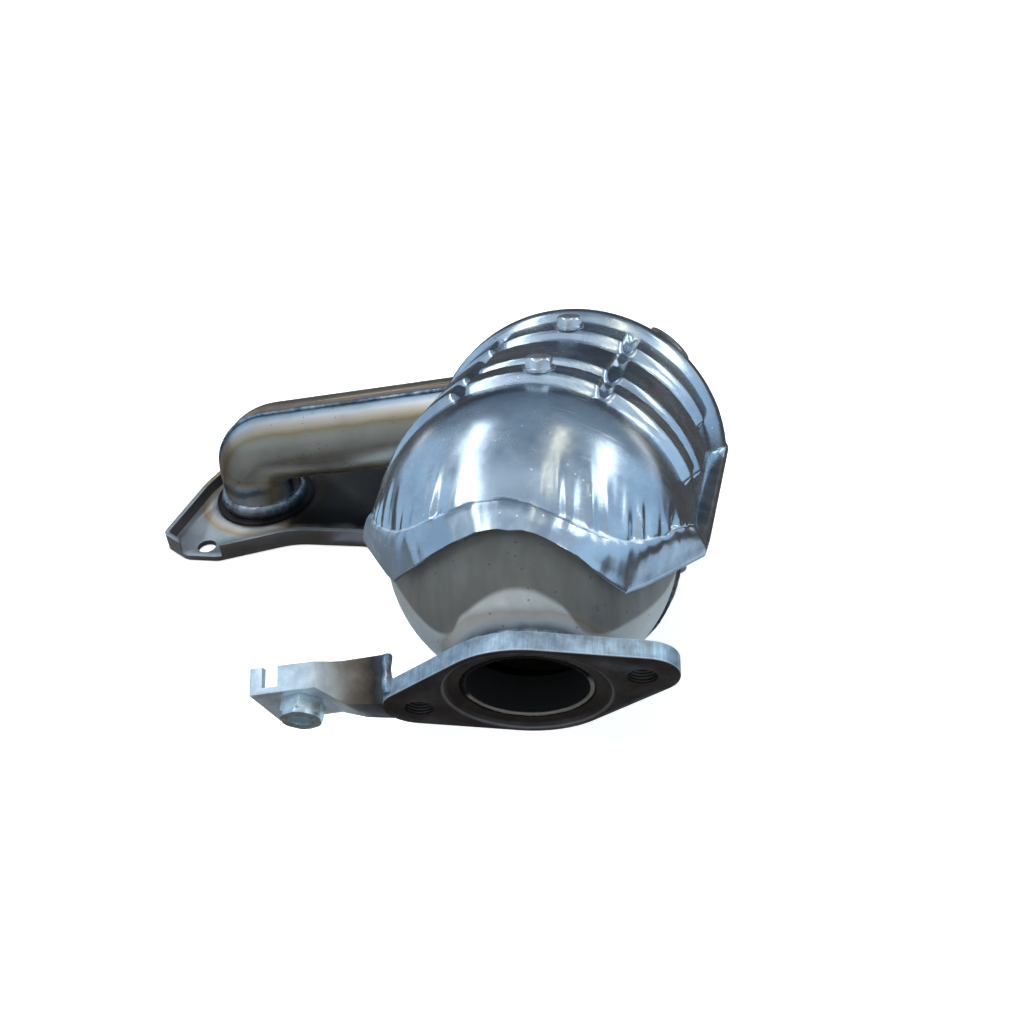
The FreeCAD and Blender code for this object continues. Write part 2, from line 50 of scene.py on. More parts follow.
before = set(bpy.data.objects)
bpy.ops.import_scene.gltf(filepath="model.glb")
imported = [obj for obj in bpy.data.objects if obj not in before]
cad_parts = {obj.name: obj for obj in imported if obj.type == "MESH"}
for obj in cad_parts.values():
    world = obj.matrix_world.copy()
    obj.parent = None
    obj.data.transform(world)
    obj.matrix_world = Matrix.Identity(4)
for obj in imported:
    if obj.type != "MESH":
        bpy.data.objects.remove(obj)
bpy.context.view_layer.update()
MM = 0.001
CAN_PLACE = Vector((90.9, -162.8, 111.5))   # outlet bulb's centre, in millimetres
CAN_TILT = -18.0             # degrees
CAN_R = 58.3
TUBE_R = 21.0
BEND_R = 24.0                # runner elbows
FLANGE_REACH = 65.6          # bulb's centre to the outlet flange's face
SHIELD_END = 127.4
SIDE_START = 9.4             # row of SKIRT where the front gives way to the sides
HARD_EDGE = 32.0             # degrees
TO_CAN = Matrix.Translation(CAN_PLACE) @ Matrix.Rotation(math.radians(CAN_TILT), 4, "X")


def outlet_frame():
    """Flange frame in the can's frame: X through the bolt holes, Z out of the face."""
    down, side, clock = (math.radians(a) for a in (37.1, 7.4, 18.0))
    out = Vector((math.sin(side) * math.cos(down), -math.cos(side) * math.cos(down), -math.sin(down)))
    level = Vector((math.cos(side), math.sin(side), 0))
    up = out.cross(level)
    ex = level * math.cos(clock) + up * math.sin(clock)
    ey = out.cross(ex)
    turn = Matrix((ex, ey, out)).transposed().to_4x4()
    return Matrix.Translation(out * FLANGE_REACH) @ turn


TO_OUTLET = TO_CAN @ outlet_frame()
SEAM_SWING = 14.0            # degrees the first runner's seam is turned to the front
PORTS = [Vector((x, 0.0, 3.0)) for x in (-98.0, 0.0, 98.0)]


# ------------------------------------------------------------------ settings
def length(name, description, default):
    return bpy.props.FloatProperty(name=name, description=description, default=default, unit="LENGTH",
        subtype="DISTANCE")


def tone(name, description, default):
    return bpy.props.FloatVectorProperty(name=name, description=description, default=default, size=4,
        subtype="COLOR")


class ShieldSettings(bpy.types.PropertyGroup):
    sheet: length("Sheet thickness", "Thickness of the shield's sheet", 0.0012)
    dome_radius: length("Dome radius", "Outside radius of the smooth front dome", 0.0647)
    valley_radius: length("Valley radius", "Outside radius between the raised pads", 0.0632)
    pad_radius: length("Pad radius", "Outside radius over the raised pads", 0.0675)
    rim_radius: length("Rim radius", "Outside radius of the flared far end", 0.0701)
    wrinkle_depth: length("Wrinkle depth", "Depth of the drawing wrinkles by the skirt", 0.0016)
    grid_step: length("Mesh step", "Spacing of the sheet's mesh", 0.00105)
    colour: tone("Colour", "Aluminised steel colour", (0.72, 0.81, 0.88, 1.0))


class TubeSettings(bpy.types.PropertyGroup):
    steel: tone("Steel", "Colour of the plain stainless tube", (0.42, 0.40, 0.36, 1.0))
    bead_radius: length("Seam bead radius", "Half width of the seam weld", 0.0011)
    port_bead_radius: length("Port bead radius", "Half width of the weld round each port", 0.0027)


class PlateSettings(bpy.types.PropertyGroup):
    plate: tone("Head plate", "Colour of the pressed head flange", (0.40, 0.43, 0.45, 1.0))
    flange: tone("Outlet flange", "Colour of the outlet flange's edge", (0.50, 0.64, 0.76, 1.0))
    face: tone("Outlet face", "Colour of the outlet flange's oxidised face", (0.085, 0.070, 0.067, 1.0))
    edge: length("Edge break", "Size of the broken edges on cut plates", 0.0005)


class StageSettings(bpy.types.PropertyGroup):
    ambient: bpy.props.FloatProperty(name="Ambient", description="Level of the even room light", default=0.27)
    strip_power: bpy.props.FloatProperty(name="Strip lamps", description="Power of each long lamp overhead",
        default=6.5, subtype="POWER")
    key_power: bpy.props.FloatProperty(name="Key lamps", description="Power of each small lamp in front",
        default=3.4, subtype="POWER")


# ------------------------------------------------------------------ mesh helpers
def link_mesh(name, bm, material):
    mesh = bpy.data.meshes.new(name)
    bm.to_mesh(mesh)
    bm.free()
    mesh.materials.append(material)
    piece = bpy.data.objects.new(name, mesh)
    bpy.context.scene.collection.objects.link(piece)
    return piece


def to_object(name, bm, material, stands_for=(), place=None, unit=MM, sharp=38.0):
    """Turn a bmesh into a finished piece at the origin that rides with the converter."""
    if unit != 1.0:
        bmesh.ops.scale(bm, vec=(unit,) * 3, verts=bm.verts)
    if place is not None:
        moved = place.copy()
        moved.translation = moved.translation * unit
        bmesh.ops.transform(bm, matrix=moved, verts=bm.verts)
    limit = math.radians(sharp)
    for face in bm.faces:
        face.smooth = True
    for edge in bm.edges:
        edge.smooth = len(edge.link_faces) != 2 or edge.calc_face_angle(0.0) < limit
    piece = link_mesh(name, bm, material)
    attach(piece, "root")
    if stands_for:
        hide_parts(*stands_for)
    return piece


def node_copy(*nodes, flat=False):
    """Merged copy of CAD nodes as a bmesh in metres."""
    bm = bmesh.new()
    for node in nodes:
        bm.from_mesh(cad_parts[node].data)
    bmesh.ops.remove_doubles(bm, verts=bm.verts, dist=2e-6)
    if flat:
        bmesh.ops.dissolve_limit(bm, angle_limit=math.radians(0.6), verts=bm.verts, edges=bm.edges)
    return bm


def break_edges(bm, size):
    """Small rounded break on every hard edge."""
    limit = math.radians(HARD_EDGE)
    hard = [e for e in bm.edges if len(e.link_faces) == 2 and e.calc_face_angle(0.0) > limit]
    bmesh.ops.bevel(bm, geom=hard, offset=size, offset_type="OFFSET", affect="EDGES", segments=2,
        profile=0.5, material=-1, clamp_overlap=True)


def finished_node(node, material, edge=0.0, sharp=38.0):
    """The CAD node as a piece, with its hard edges broken where an edge size is given."""
    bm = node_copy(node, flat=bool(edge))
    if edge:
        break_edges(bm, edge)
    to_object(node + "_piece", bm, material, (node,), unit=1.0, sharp=sharp)


def rough_bead(bm, ripple, lump, seed, pitch):
    """Stack-of-coins ripple and random lumps along a weld bead, in millimetres."""
    bm.normal_update()
    for v in bm.verts:
        p = v.co
        wave = noise.noise(Vector((p.x, p.y, p.z)) * (1.0 / pitch) + Vector((seed, 0, 0)))
        slow = noise.noise(p * 0.09 + Vector((0, seed, 0)))
        v.co += v.normal * (ripple * wave + lump * slow)


def ring_bead(radius, half_width, height, ripple=0.35, lump=0.5, seed=1.0, pitch=1.6, flat_ratio=0.8):
    """Weld bead round a circle of this radius in the XY plane, in millimetres."""
    bm = bmesh.new()
    bmesh.ops.create_circle(bm, cap_ends=False, radius=half_width, segments=14)
    bmesh.ops.scale(bm, vec=(1.0, flat_ratio, 1.0), verts=bm.verts)
    bmesh.ops.rotate(bm, cent=(0, 0, 0), matrix=Matrix.Rotation(math.radians(90), 3, "X"), verts=bm.verts)
    bmesh.ops.translate(bm, vec=(radius, 0, height), verts=bm.verts)
    steps = max(48, int(2 * math.pi * radius / 0.8))
    bmesh.ops.spin(bm, geom=bm.verts[:] + bm.edges[:], cent=(0, 0, 0), axis=(0, 0, 1), angle=2 * math.pi,
        steps=steps, use_merge=True, use_duplicate=False)
    bmesh.ops.remove_doubles(bm, verts=bm.verts, dist=1e-4)
    bmesh.ops.recalc_face_normals(bm, faces=bm.faces)
    rough_bead(bm, ripple, lump, seed, pitch)
    return bm


# ------------------------------------------------------------------ material helpers
class Graph:
    """Short hand for laying out a node tree."""

    def __init__(self, tree):
        self.tree = tree

    def add(self, kind, **values):
        node = self.tree.nodes.new("ShaderNode" + kind)
        for key, value in values.items():
            setattr(node, key, value)
        return node

    def join(self, source, target):
        self.tree.links.new(source, target)

    def math(self, operation, a, b=None, clamp=False):
        node = self.add("Math", operation=operation, use_clamp=clamp)
        for socket, value in zip(node.inputs, (a, b)):
            if value is None:
                continue
            if isinstance(value, (int, float)):
                socket.default_value = value
            else:
                self.join(value, socket)
        return node.outputs[0]

    def times(self, a, b):
        return self.math("MULTIPLY", a, b)

    def plus(self, a, b):
        return self.math("ADD", a, b)

    def minus(self, a, b):
        return self.math("SUBTRACT", a, b)

    def most(self, a, b):
        return self.math("MAXIMUM", a, b)

    def absolute(self, a):
        return self.math("ABSOLUTE", a)

    def vector(self, operation, a, b=None, scale=None):
        node = self.add("VectorMath", operation=operation)
        for socket, value in zip(node.inputs, (a, b)):
            if value is None:
                continue
            if isinstance(value, (tuple, Vector)):
                socket.default_value = value
            else:
                self.join(value, socket)
        if scale is not None:
            node.inputs["Scale"].default_value = scale
        return node.outputs["Value"] if operation in ("DOT_PRODUCT", "LENGTH",
            "DISTANCE") else node.outputs["Vector"]

    def mix(self, factor, a, b, blend="MIX"):
        node = self.add("Mix", data_type="RGBA", blend_type=blend)
        for socket, value in ((node.inputs["Factor"], factor), (node.inputs[6], a), (node.inputs[7], b)):
            if isinstance(value, (int, float)):
                socket.default_value = value
            elif isinstance(value, (tuple, list)) or hasattr(value, "foreach_get"):
                socket.default_value = tuple(value) if len(value) == 4 else (*value, 1.0)
            else:
                self.join(value, socket)
        return node.outputs[2]

    def ramp(self, factor, stops):
        node = self.add("ValToRGB")
        ramp = node.color_ramp
        while len(ramp.elements) < len(stops):
            ramp.elements.new(0.5)
        for element, (position, colour) in zip(ramp.elements, stops):
            element.position = position
            element.color = (*colour, 1.0) if len(colour) == 3 else colour
        self.join(factor, node.inputs[0])
        return node.outputs[0]

    def range(self, value, low, high, to_low=0.0, to_high=1.0, smooth=False):
        node = self.add("MapRange", clamp=True, interpolation_type="SMOOTHSTEP" if smooth else "LINEAR")
        for socket, v in zip(node.inputs, (value, low, high, to_low, to_high)):
            if isinstance(v, (int, float)):
                socket.default_value = v
            else:
                self.join(v, socket)
        return node.outputs[0]

    def noise(self, vector, scale, detail=3.0, rough=0.55):
        node = self.add("TexNoise")
        self.join(vector, node.inputs["Vector"])
        for name, value in (("Scale", scale), ("Detail", detail), ("Roughness", rough)):
            if isinstance(value, (int, float)):
                node.inputs[name].default_value = value
            else:
                self.join(value, node.inputs[name])
        return node.outputs["Fac"]

    def group(self, name, **inputs):
        node = self.add("Group")
        node.node_tree = bpy.data.node_groups[name]
        for key, value in inputs.items():
            socket = node.inputs[key.replace("_", " ")]
            if isinstance(value, (int, float, tuple, list)):
                socket.default_value = value
            else:
                self.join(value, socket)
        return node

    def wobble(self, vector, scale, detail, size):
        """Noise about zero."""
        return self.times(self.minus(self.noise(vector, scale, detail=detail), 0.5), size)

    def patchy(self, vector, scale, detail, low, high):
        """Soft patches between two values."""
        return self.range(self.noise(vector, scale, detail=detail), 0.3, 0.7, low, high)

    def mottle(self, vector, scale, dark, light, contrast):
        node = self.group("Mottle", Vector=vector, Scale=scale, Dark=dark, Light=light, Contrast=contrast)
        return node.outputs["Color"]

    def speckle(self, vector, under, colour, amount, scale, size, share):
        """Small round specks of a colour laid over another."""
        node = self.group("Specks", Vector=vector, Scale=scale, Size=size, Share=share)
        return self.mix(self.times(node.outputs["Mask"], amount), under, colour)

    def worn(self, vector, scratches, scale, detail, grain):
        """Height of a worn surface: grain with fine scratches cut in."""
        marks = self.group("Fine scratches", Vector=vector, Scale=240.0, Amount=scratches)
        return self.plus(self.times(self.noise(vector, scale, detail=detail), grain), marks.outputs["Height"])


def shaded(colour, share):
    """The colour made darker, with full alpha."""
    return (*(c * share for c in colour[:3]), 1.0)


def new_group(name, inputs, outputs):
    group = bpy.data.node_groups.new(name, "ShaderNodeTree")
    for label, kind, value in inputs:
        socket = group.interface.new_socket(label, in_out="INPUT", socket_type=kind)
        if value is not None:
            socket.default_value = value
    for label, kind in outputs:
        group.interface.new_socket(label, in_out="OUTPUT", socket_type=kind)
    graph = Graph(group)
    return graph, group.nodes.new("NodeGroupInput"), group.nodes.new("NodeGroupOutput")


VEC, NUM, COL = "NodeSocketVector", "NodeSocketFloat", "NodeSocketColor"


def build_groups():
    """Shared surface effects, each built once."""
    g, src, out = new_group("Fine scratches", [("Vector", VEC, None), ("Scale", NUM, 260.0),
        ("Amount", NUM, 0.5)], [("Mask", NUM), ("Height", NUM)])
    layers = []
    for turn, squeeze in ((0.5, 28.0), (1.9, 34.0), (2.7, 22.0)):
        place = g.add("Mapping")
        place.inputs["Rotation"].default_value = (turn, turn * 0.7, turn * 1.3)
        place.inputs["Scale"].default_value = (1.0, squeeze, 1.0)
        g.join(src.outputs["Vector"], place.inputs["Vector"])
        lines = g.noise(place.outputs[0], g.times(src.outputs["Scale"], 0.12), detail=2.0, rough=0.7)
        layers.append(g.range(lines, 0.66, 0.74))
    total = g.most(g.most(layers[0], layers[1]), layers[2])
    patches = g.range(g.noise(src.outputs["Vector"], 28.0, detail=2.0), 0.42, 0.62)
    mask = g.times(g.times(total, patches), src.outputs["Amount"])
    g.join(mask, out.inputs["Mask"])
    g.join(g.times(mask, -1.0), out.inputs["Height"])

    g, src, out = new_group("Mottle", [("Vector", VEC, None), ("Scale", NUM, 60.0),
        ("Dark", COL, (0.1, 0.1, 0.1, 1)), ("Light", COL, (0.5, 0.5, 0.5, 1)), ("Contrast", NUM, 0.5)],
        [("Color", COL), ("Mask", NUM)])
    coarse = g.noise(src.outputs["Vector"], src.outputs["Scale"], detail=6.0, rough=0.62)
    half = g.times(src.outputs["Contrast"], 0.3)
    low = g.minus(0.36, g.times(half, -0.4))
    mask = g.range(coarse, low, g.plus(0.66, g.times(half, -0.4)))
    g.join(g.mix(mask, src.outputs["Dark"], src.outputs["Light"]), out.inputs["Color"])
    g.join(mask, out.inputs["Mask"])

    g, src, out = new_group("Heat tint", [("Distance", NUM, 0.0), ("Width", NUM, 0.01),
        ("Strength", NUM, 1.0)], [("Color", COL), ("Mask", NUM)])
    along = g.math("DIVIDE", src.outputs["Distance"], src.outputs["Width"], clamp=True)
    stops = [(0.0, (0.03, 0.045, 0.075)), (0.08, (0.06, 0.10, 0.17)), (0.16, (0.34, 0.45, 0.56)),
        (0.32, (0.66, 0.66, 0.66)),
             (0.46, (0.60, 0.50, 0.42)), (0.58, (0.52, 0.40, 0.27)), (0.68, (0.34, 0.24, 0.12)), (0.80,
                 (0.40, 0.34, 0.24)), (1.0, (0.42, 0.40, 0.36))]
    g.join(g.ramp(along, stops), out.inputs["Color"])
    fade = g.range(along, 0.62, 1.0, 1.0, 0.0, smooth=True)
    g.join(g.times(fade, src.outputs["Strength"]), out.inputs["Mask"])

    g, src, out = new_group("Specks", [("Vector", VEC, None), ("Scale", NUM, 400.0), ("Size", NUM, 0.2),
        ("Share", NUM, 0.3)], [("Mask", NUM)])
    cells = g.add("TexVoronoi")
    g.join(src.outputs["Vector"], cells.inputs["Vector"])
    g.join(src.outputs["Scale"], cells.inputs["Scale"])
    dots = g.math("LESS_THAN", cells.outputs["Distance"], src.outputs["Size"])
    split = g.add("SeparateColor")
    g.join(cells.outputs["Color"], split.inputs[0])
    chosen = g.math("LESS_THAN", split.outputs[0], src.outputs["Share"])
    g.join(g.times(dots, chosen), out.inputs["Mask"])


def empty_graph(owner):
    """Cleared node tree of a material or a world."""
    owner.use_nodes = True
    owner.node_tree.nodes.clear()
    return Graph(owner.node_tree)


def new_material(name):
    """Material with a Principled shader and Object coordinates to start from."""
    material = bpy.data.materials.new(name)
    g = empty_graph(material)
    out = g.add("OutputMaterial")
    shader = g.add("BsdfPrincipled")
    g.join(shader.outputs[0], out.inputs[0])
    where = g.add("TexCoord").outputs["Object"]
    return material, g, shader, where


def bump(g, shader, height, distance, strength=1.0):
    node = g.add("Bump")
    node.inputs["Distance"].default_value = distance
    node.inputs["Strength"].default_value = strength
    g.join(height, node.inputs["Height"])
    g.join(node.outputs[0], shader.inputs["Normal"])


def surface(g, shader, colour, metallic, rough):
    g.join(colour, shader.inputs["Base Color"])
    shader.inputs["Metallic"].default_value = metallic
    g.join(rough, shader.inputs["Roughness"])


def in_frame(g, where, placement):
    """Object coordinates turned into a part's own frame, in metres."""
    inverse = placement.copy()
    inverse.translation = inverse.translation * MM
    inverse = inverse.inverted()
    place = g.add("Mapping", vector_type="POINT")
    place.inputs["Location"].default_value = inverse.translation
    place.inputs["Rotation"].default_value = inverse.to_euler("XYZ")
    g.join(where, place.inputs["Vector"])
    return place.outputs[0]


def parts_of(g, vector):
    node = g.add("SeparateXYZ")
    g.join(vector, node.inputs[0])
    return node.outputs


def shield_material(colour):
    m, g, shader, where = new_material("Aluminised shield sheet")
    base = tuple(colour)
    darkening = tuple(c * k for c, k in zip(base[:3], (0.62, 0.64, 0.68)))
    cloud = g.mottle(where, 26.0, (*darkening, 1), base, 0.2)
    marks = g.group("Fine scratches", Vector=where, Scale=300.0, Amount=0.75)
    specks = g.group("Specks", Vector=where, Scale=330.0, Size=0.16, Share=0.10)
    colour_out = g.mix(g.times(marks.outputs["Mask"], 0.5), cloud, (0.92, 0.95, 1.0))
    colour_out = g.mix(g.times(specks.outputs["Mask"], 0.7), colour_out, (0.95, 0.97, 1.0))
    drawn = g.add("Attribute", attribute_name="drawn")
    across, up, zone = parts_of(g, drawn.outputs["Vector"])
    # painted highlight: the crease is painted bright where the skirt turns out
    painted_crease_highlight = g.range(g.absolute(up), 0.2, 1.3, 1.0, 0.0, smooth=True)
    painted_crease_highlight = g.times(painted_crease_highlight, g.range(g.absolute(across), 26.0, 34.0))
    colour_out = g.mix(g.times(painted_crease_highlight, 0.85), colour_out, (0.97, 0.98, 1.0))
    g.join(colour_out, shader.inputs["Base Color"])
    grain = g.noise(where, 900.0, detail=2.0)
    rough = g.range(g.noise(where, 70.0, detail=5.0, rough=0.65), 0.3, 0.7, 0.18, 0.31)
    flank = g.times(g.range(up, -0.5, -2.0), g.range(across, -36.0, -48.0))
    rough = g.plus(rough, g.times(flank, 0.24))
    g.join(g.plus(rough, g.times(painted_crease_highlight, 0.25)), shader.inputs["Roughness"])
    shader.inputs["Metallic"].default_value = 1.0
    lines = g.add("CombineXYZ")
    g.join(g.times(across, 0.24), lines.inputs[0])
    g.join(g.times(up, 0.02), lines.inputs[1])
    creases = g.absolute(g.minus(g.noise(lines.outputs[0], 1.0, detail=1.5, rough=0.5), 0.5))
    creases = g.times(g.times(creases, zone), 5.0)
    height = g.plus(g.times(grain, 0.25), marks.outputs["Height"])
    height = g.plus(height, g.times(g.noise(where, 130.0, detail=2.0), 1.1))
    height = g.minus(height, creases)
    bump(g, shader, height, 0.00006, 0.8)
    return m


def painted_arch_shadow(g, where):
    """1 on the outlet bulb above the edge of the painted shadow that the shield's skirt casts."""
    own = g.vector("SCALE", g.vector("SUBTRACT", where, tuple(CAN_PLACE * MM)), scale=1 / (CAN_R * MM))
    x, _, z = parts_of(g, own)
    line = g.add("FloatCurve")
    curve = line.mapping.curves[0]
    places = [(-1.0, 0.10), (-0.80, 0.06), (-0.42, -0.04), (-0.27, 0.17), (0.05, 0.37), (0.33, 0.27),
        (0.54, -0.04), (0.80, -0.08), (1.0, -0.10)]
    while len(curve.points) < len(places):
        curve.points.new(0.5, 0.5)
    for point, (px, pz) in zip(curve.points, places):
        point.location = ((px + 1) / 2, (pz + 1) / 2)
    line.mapping.update()
    g.join(g.times(g.plus(x, 1.0), 0.5), line.inputs["Value"])
    level = g.minus(g.times(line.outputs[0], 2.0), 1.0)
    wobble = g.wobble(where, 40.0, 2.0, 0.04)
    return g.range(g.minus(g.plus(z, wobble), level), -0.012, 0.035, smooth=True)


def stainless_material(name, steel, tints=(), roughness=(0.34, 0.50), metallic=0.9, inside=None, seam=None,
        darkening=None):
    """Bare stainless with handling marks. Each tint is (distance socket maker, width, strength);
    inside gives a mask for the painted shade on the inner faces, darkening one for a band of painted shadow,
    with painted shade on the sides."""
    m, g, shader, where = new_material(name)
    base = tuple(steel)
    cloud = g.mottle(where, 34.0, shaded(base, 0.78), base, 0.3)
    colour = cloud
    if darkening:
        # painted shadow where the shield's arch shades the bulb, with painted reflection streaks in it
        painted_streaks = g.noise(g.vector("MULTIPLY", where, (1.0, 1.0, 0.12)), 150.0, detail=3.0)
        shade = g.mix(g.range(painted_streaks, 0.35, 0.65), (0.165, 0.160, 0.145), (0.215, 0.215, 0.20))
        # painted shade: the bulb's sides are darker than its lit middle
        flank = g.minus(parts_of(g, where)[0], (CAN_PLACE.x + 4.0) * MM)
        colour = g.mix(g.range(g.absolute(flank), 0.024, 0.040, 0.0, 0.75), colour, (0.44, 0.46, 0.46))
        colour = g.mix(g.times(darkening(g, where), 0.92), colour, shade)
    for maker, width, strength in tints:
        gap = maker(g, where)
        near = gap
        if maker is seam:
            near = g.absolute(gap)
            tan = g.ramp(g.math("DIVIDE", gap, 0.012, clamp=True),
                [(0.0, (0.03, 0.045, 0.075)), (0.10, (0.05, 0.07, 0.10)), (0.20, (0.34, 0.25, 0.19)),
                (0.45, (0.52, 0.39, 0.28)), (0.65, (0.36, 0.30, 0.21)), (1.0, (0.33, 0.32, 0.25))])
        tint = g.group("Heat tint", Distance=near, Width=width, Strength=strength)
        shade, cover = tint.outputs["Color"], tint.outputs["Mask"]
        if maker is seam:
            behind = g.range(gap, 0.0, 0.0003)
            shade = g.mix(behind, shade, tan)
            cover = g.most(cover, g.times(behind, 0.9))
        colour = g.mix(cover, colour, shade)
    smudge = g.range(g.noise(where, 120.0, detail=4.0, rough=0.7), 0.66, 0.74)
    colour = g.mix(g.times(smudge, 0.45), colour, (0.10, 0.09, 0.08))
    colour = g.speckle(where, colour, (0.07, 0.065, 0.06), 0.6, scale=420.0, size=0.17, share=0.12)
    rough = g.patchy(where, 90.0, 5.0, *roughness)
    shader.inputs["Metallic"].default_value = metallic
    if inside:
        # painted shade: the inner faces are near-black and matt
        inner_shade = inside(g, where)
        colour = g.mix(inner_shade, colour, (0.006, 0.0055, 0.005))
        rough = g.most(rough, g.times(inner_shade, 0.9))
        g.join(g.times(g.minus(1.0, inner_shade), metallic), shader.inputs["Metallic"])
    g.join(colour, shader.inputs["Base Color"])
    g.join(rough, shader.inputs["Roughness"])
    height = g.worn(where, 0.6, 1100.0, 2.0, 0.5)
    bump(g, shader, height, 0.00005, 0.7)
    return m


def ring_distance(centre, radius):
    """Distance outside a ball of this radius about a point, in metres."""
    def maker(g, where):
        away = g.vector("DISTANCE", where, tuple(Vector(centre) * MM))
        wobble = g.wobble(where, 60.0, 3.0, 0.005)
        return g.absolute(g.plus(g.minus(away, radius * MM), wobble))
    return maker


def plane_distance(point, normal, shift=0.0):
    """Signed distance from a plane, in metres."""
    def maker(g, where):
        across = g.vector("DOT_PRODUCT", where, tuple(normal))
        level = Vector(point).dot(Vector(normal)) * MM + shift * MM
        wobble = g.wobble(where, 50.0, 3.0, 0.002)
        return g.plus(g.minus(across, level), wobble)
    return maker


def inside_bulb(g, where):
    """1 on the inner faces of the outlet bulb and its pipe."""
    away = g.vector("DISTANCE", where, tuple(CAN_PLACE * MM))
    bulb = g.range(away, 0.0570, 0.0576, 1.0, 0.0)
    own = in_frame(g, where, TO_OUTLET)
    bore = g.range(g.vector("LENGTH", g.vector("MULTIPLY", own, (1.0, 1.0, 0.0))), 0.0236, 0.0243, 1.0, 0.0)
    return g.most(bulb, bore)


def weld_material():
    m, g, shader, where = new_material("Weld bead")
    cloud = g.mottle(where, 120.0, (0.10, 0.16, 0.22, 1), (0.42, 0.52, 0.60, 1), 0.4)
    warm = g.range(g.noise(where, 45.0, detail=3.0), 0.55, 0.68)
    colour = g.mix(g.times(warm, 0.5), cloud, (0.20, 0.13, 0.08))
    surface(g, shader, colour, 0.9, g.range(g.noise(where, 200.0), 0.35, 0.65, 0.26, 0.44))
    bump(g, shader, g.noise(where, 700.0, detail=4.0), 0.0002, 0.6)
    return m


def bore_weld_material():
    """Thin bead inside the outlet, with painted shade on its upper half."""
    m, g, shader, where = new_material("Bore weld")
    _, y, _ = parts_of(g, in_frame(g, where, TO_OUTLET))
    patchy = g.wobble(where, 110.0, 3.0, 0.020)
    # painted shade: the upper half is near-black, the lower half is lit
    low = g.range(g.plus(y, patchy), 0.003, -0.004)
    surface(g, shader, g.mix(low, (0.012, 0.011, 0.010), (0.34, 0.33, 0.29)), 0.7,
        g.range(g.noise(where, 260.0), 0.35, 0.65, 0.35, 0.55))
    bump(g, shader, g.noise(where, 800.0, detail=3.0), 0.0001, 0.6)
    return m


def plate_material(colour):
    m, g, shader, where = new_material("Pressed plate")
    base = tuple(colour)
    cloud = g.mottle(where, 45.0, shaded(base, 0.7), base, 0.3)
    out = cloud
    for port in PORTS:
        tint = g.group("Heat tint", Distance=ring_distance(port, 26.0)(g, where), Width=0.012, Strength=0.9)
        out = g.mix(tint.outputs["Mask"], out, g.mix(0.45, tint.outputs["Color"], (0.42, 0.34, 0.24)))
    x, y, z = parts_of(g, where)
    # painted shadow: near-black on the far rim's inner wall and on the face under the runners and the shield
    far = g.times(g.range(z, 0.0031, 0.0034), g.range(z, 0.0096, 0.0098, 1.0, 0.0))
    wall = g.times(far, g.range(y, -0.034, -0.026))
    painted_shadow_patch = g.times(g.range(x, -0.088, -0.076), g.range(x, 0.060, 0.078, 1.0, 0.0))
    ragged = g.wobble(where, 55.0, 4.0, 0.012)
    painted_shadow_patch = g.times(painted_shadow_patch, g.range(g.plus(y, ragged), -0.031, -0.021))
    painted_shadow_patch = g.times(painted_shadow_patch, g.range(z, 0.0098, 0.0102, 1.0, 0.0))
    out = g.mix(g.times(g.most(wall, painted_shadow_patch), 0.94), out, (0.010, 0.008, 0.007))
    # painted shade: the steep pressed walls are painted darker than the face
    facing = g.add("TexCoord").outputs["Normal"]
    painted_wall_shade = g.range(g.absolute(parts_of(g, facing)[2]), 0.25, 0.55, 1.0, 0.0)
    near_port = [g.vector("DISTANCE", where, tuple(port * MM)) for port in PORTS]
    near_port = g.math("MINIMUM", g.math("MINIMUM", near_port[0], near_port[1]), near_port[2])
    painted_wall_shade = g.times(painted_wall_shade, g.range(near_port, 0.030, 0.032))
    out = g.mix(g.times(painted_wall_shade, 0.85), out, g.mix(g.noise(where, 50.0), (0.13, 0.11, 0.11),
        (0.22, 0.20, 0.20)))
    out = g.speckle(where, out, (0.07, 0.065, 0.06), 0.6, scale=380.0, size=0.16, share=0.12)
    surface(g, shader, out, 0.85, g.patchy(where, 90.0, 5.0, 0.36, 0.52))
    height = g.worn(where, 0.7, 900.0, 2.0, 0.6)
    bump(g, shader, height, 0.00006, 0.7)
    return m


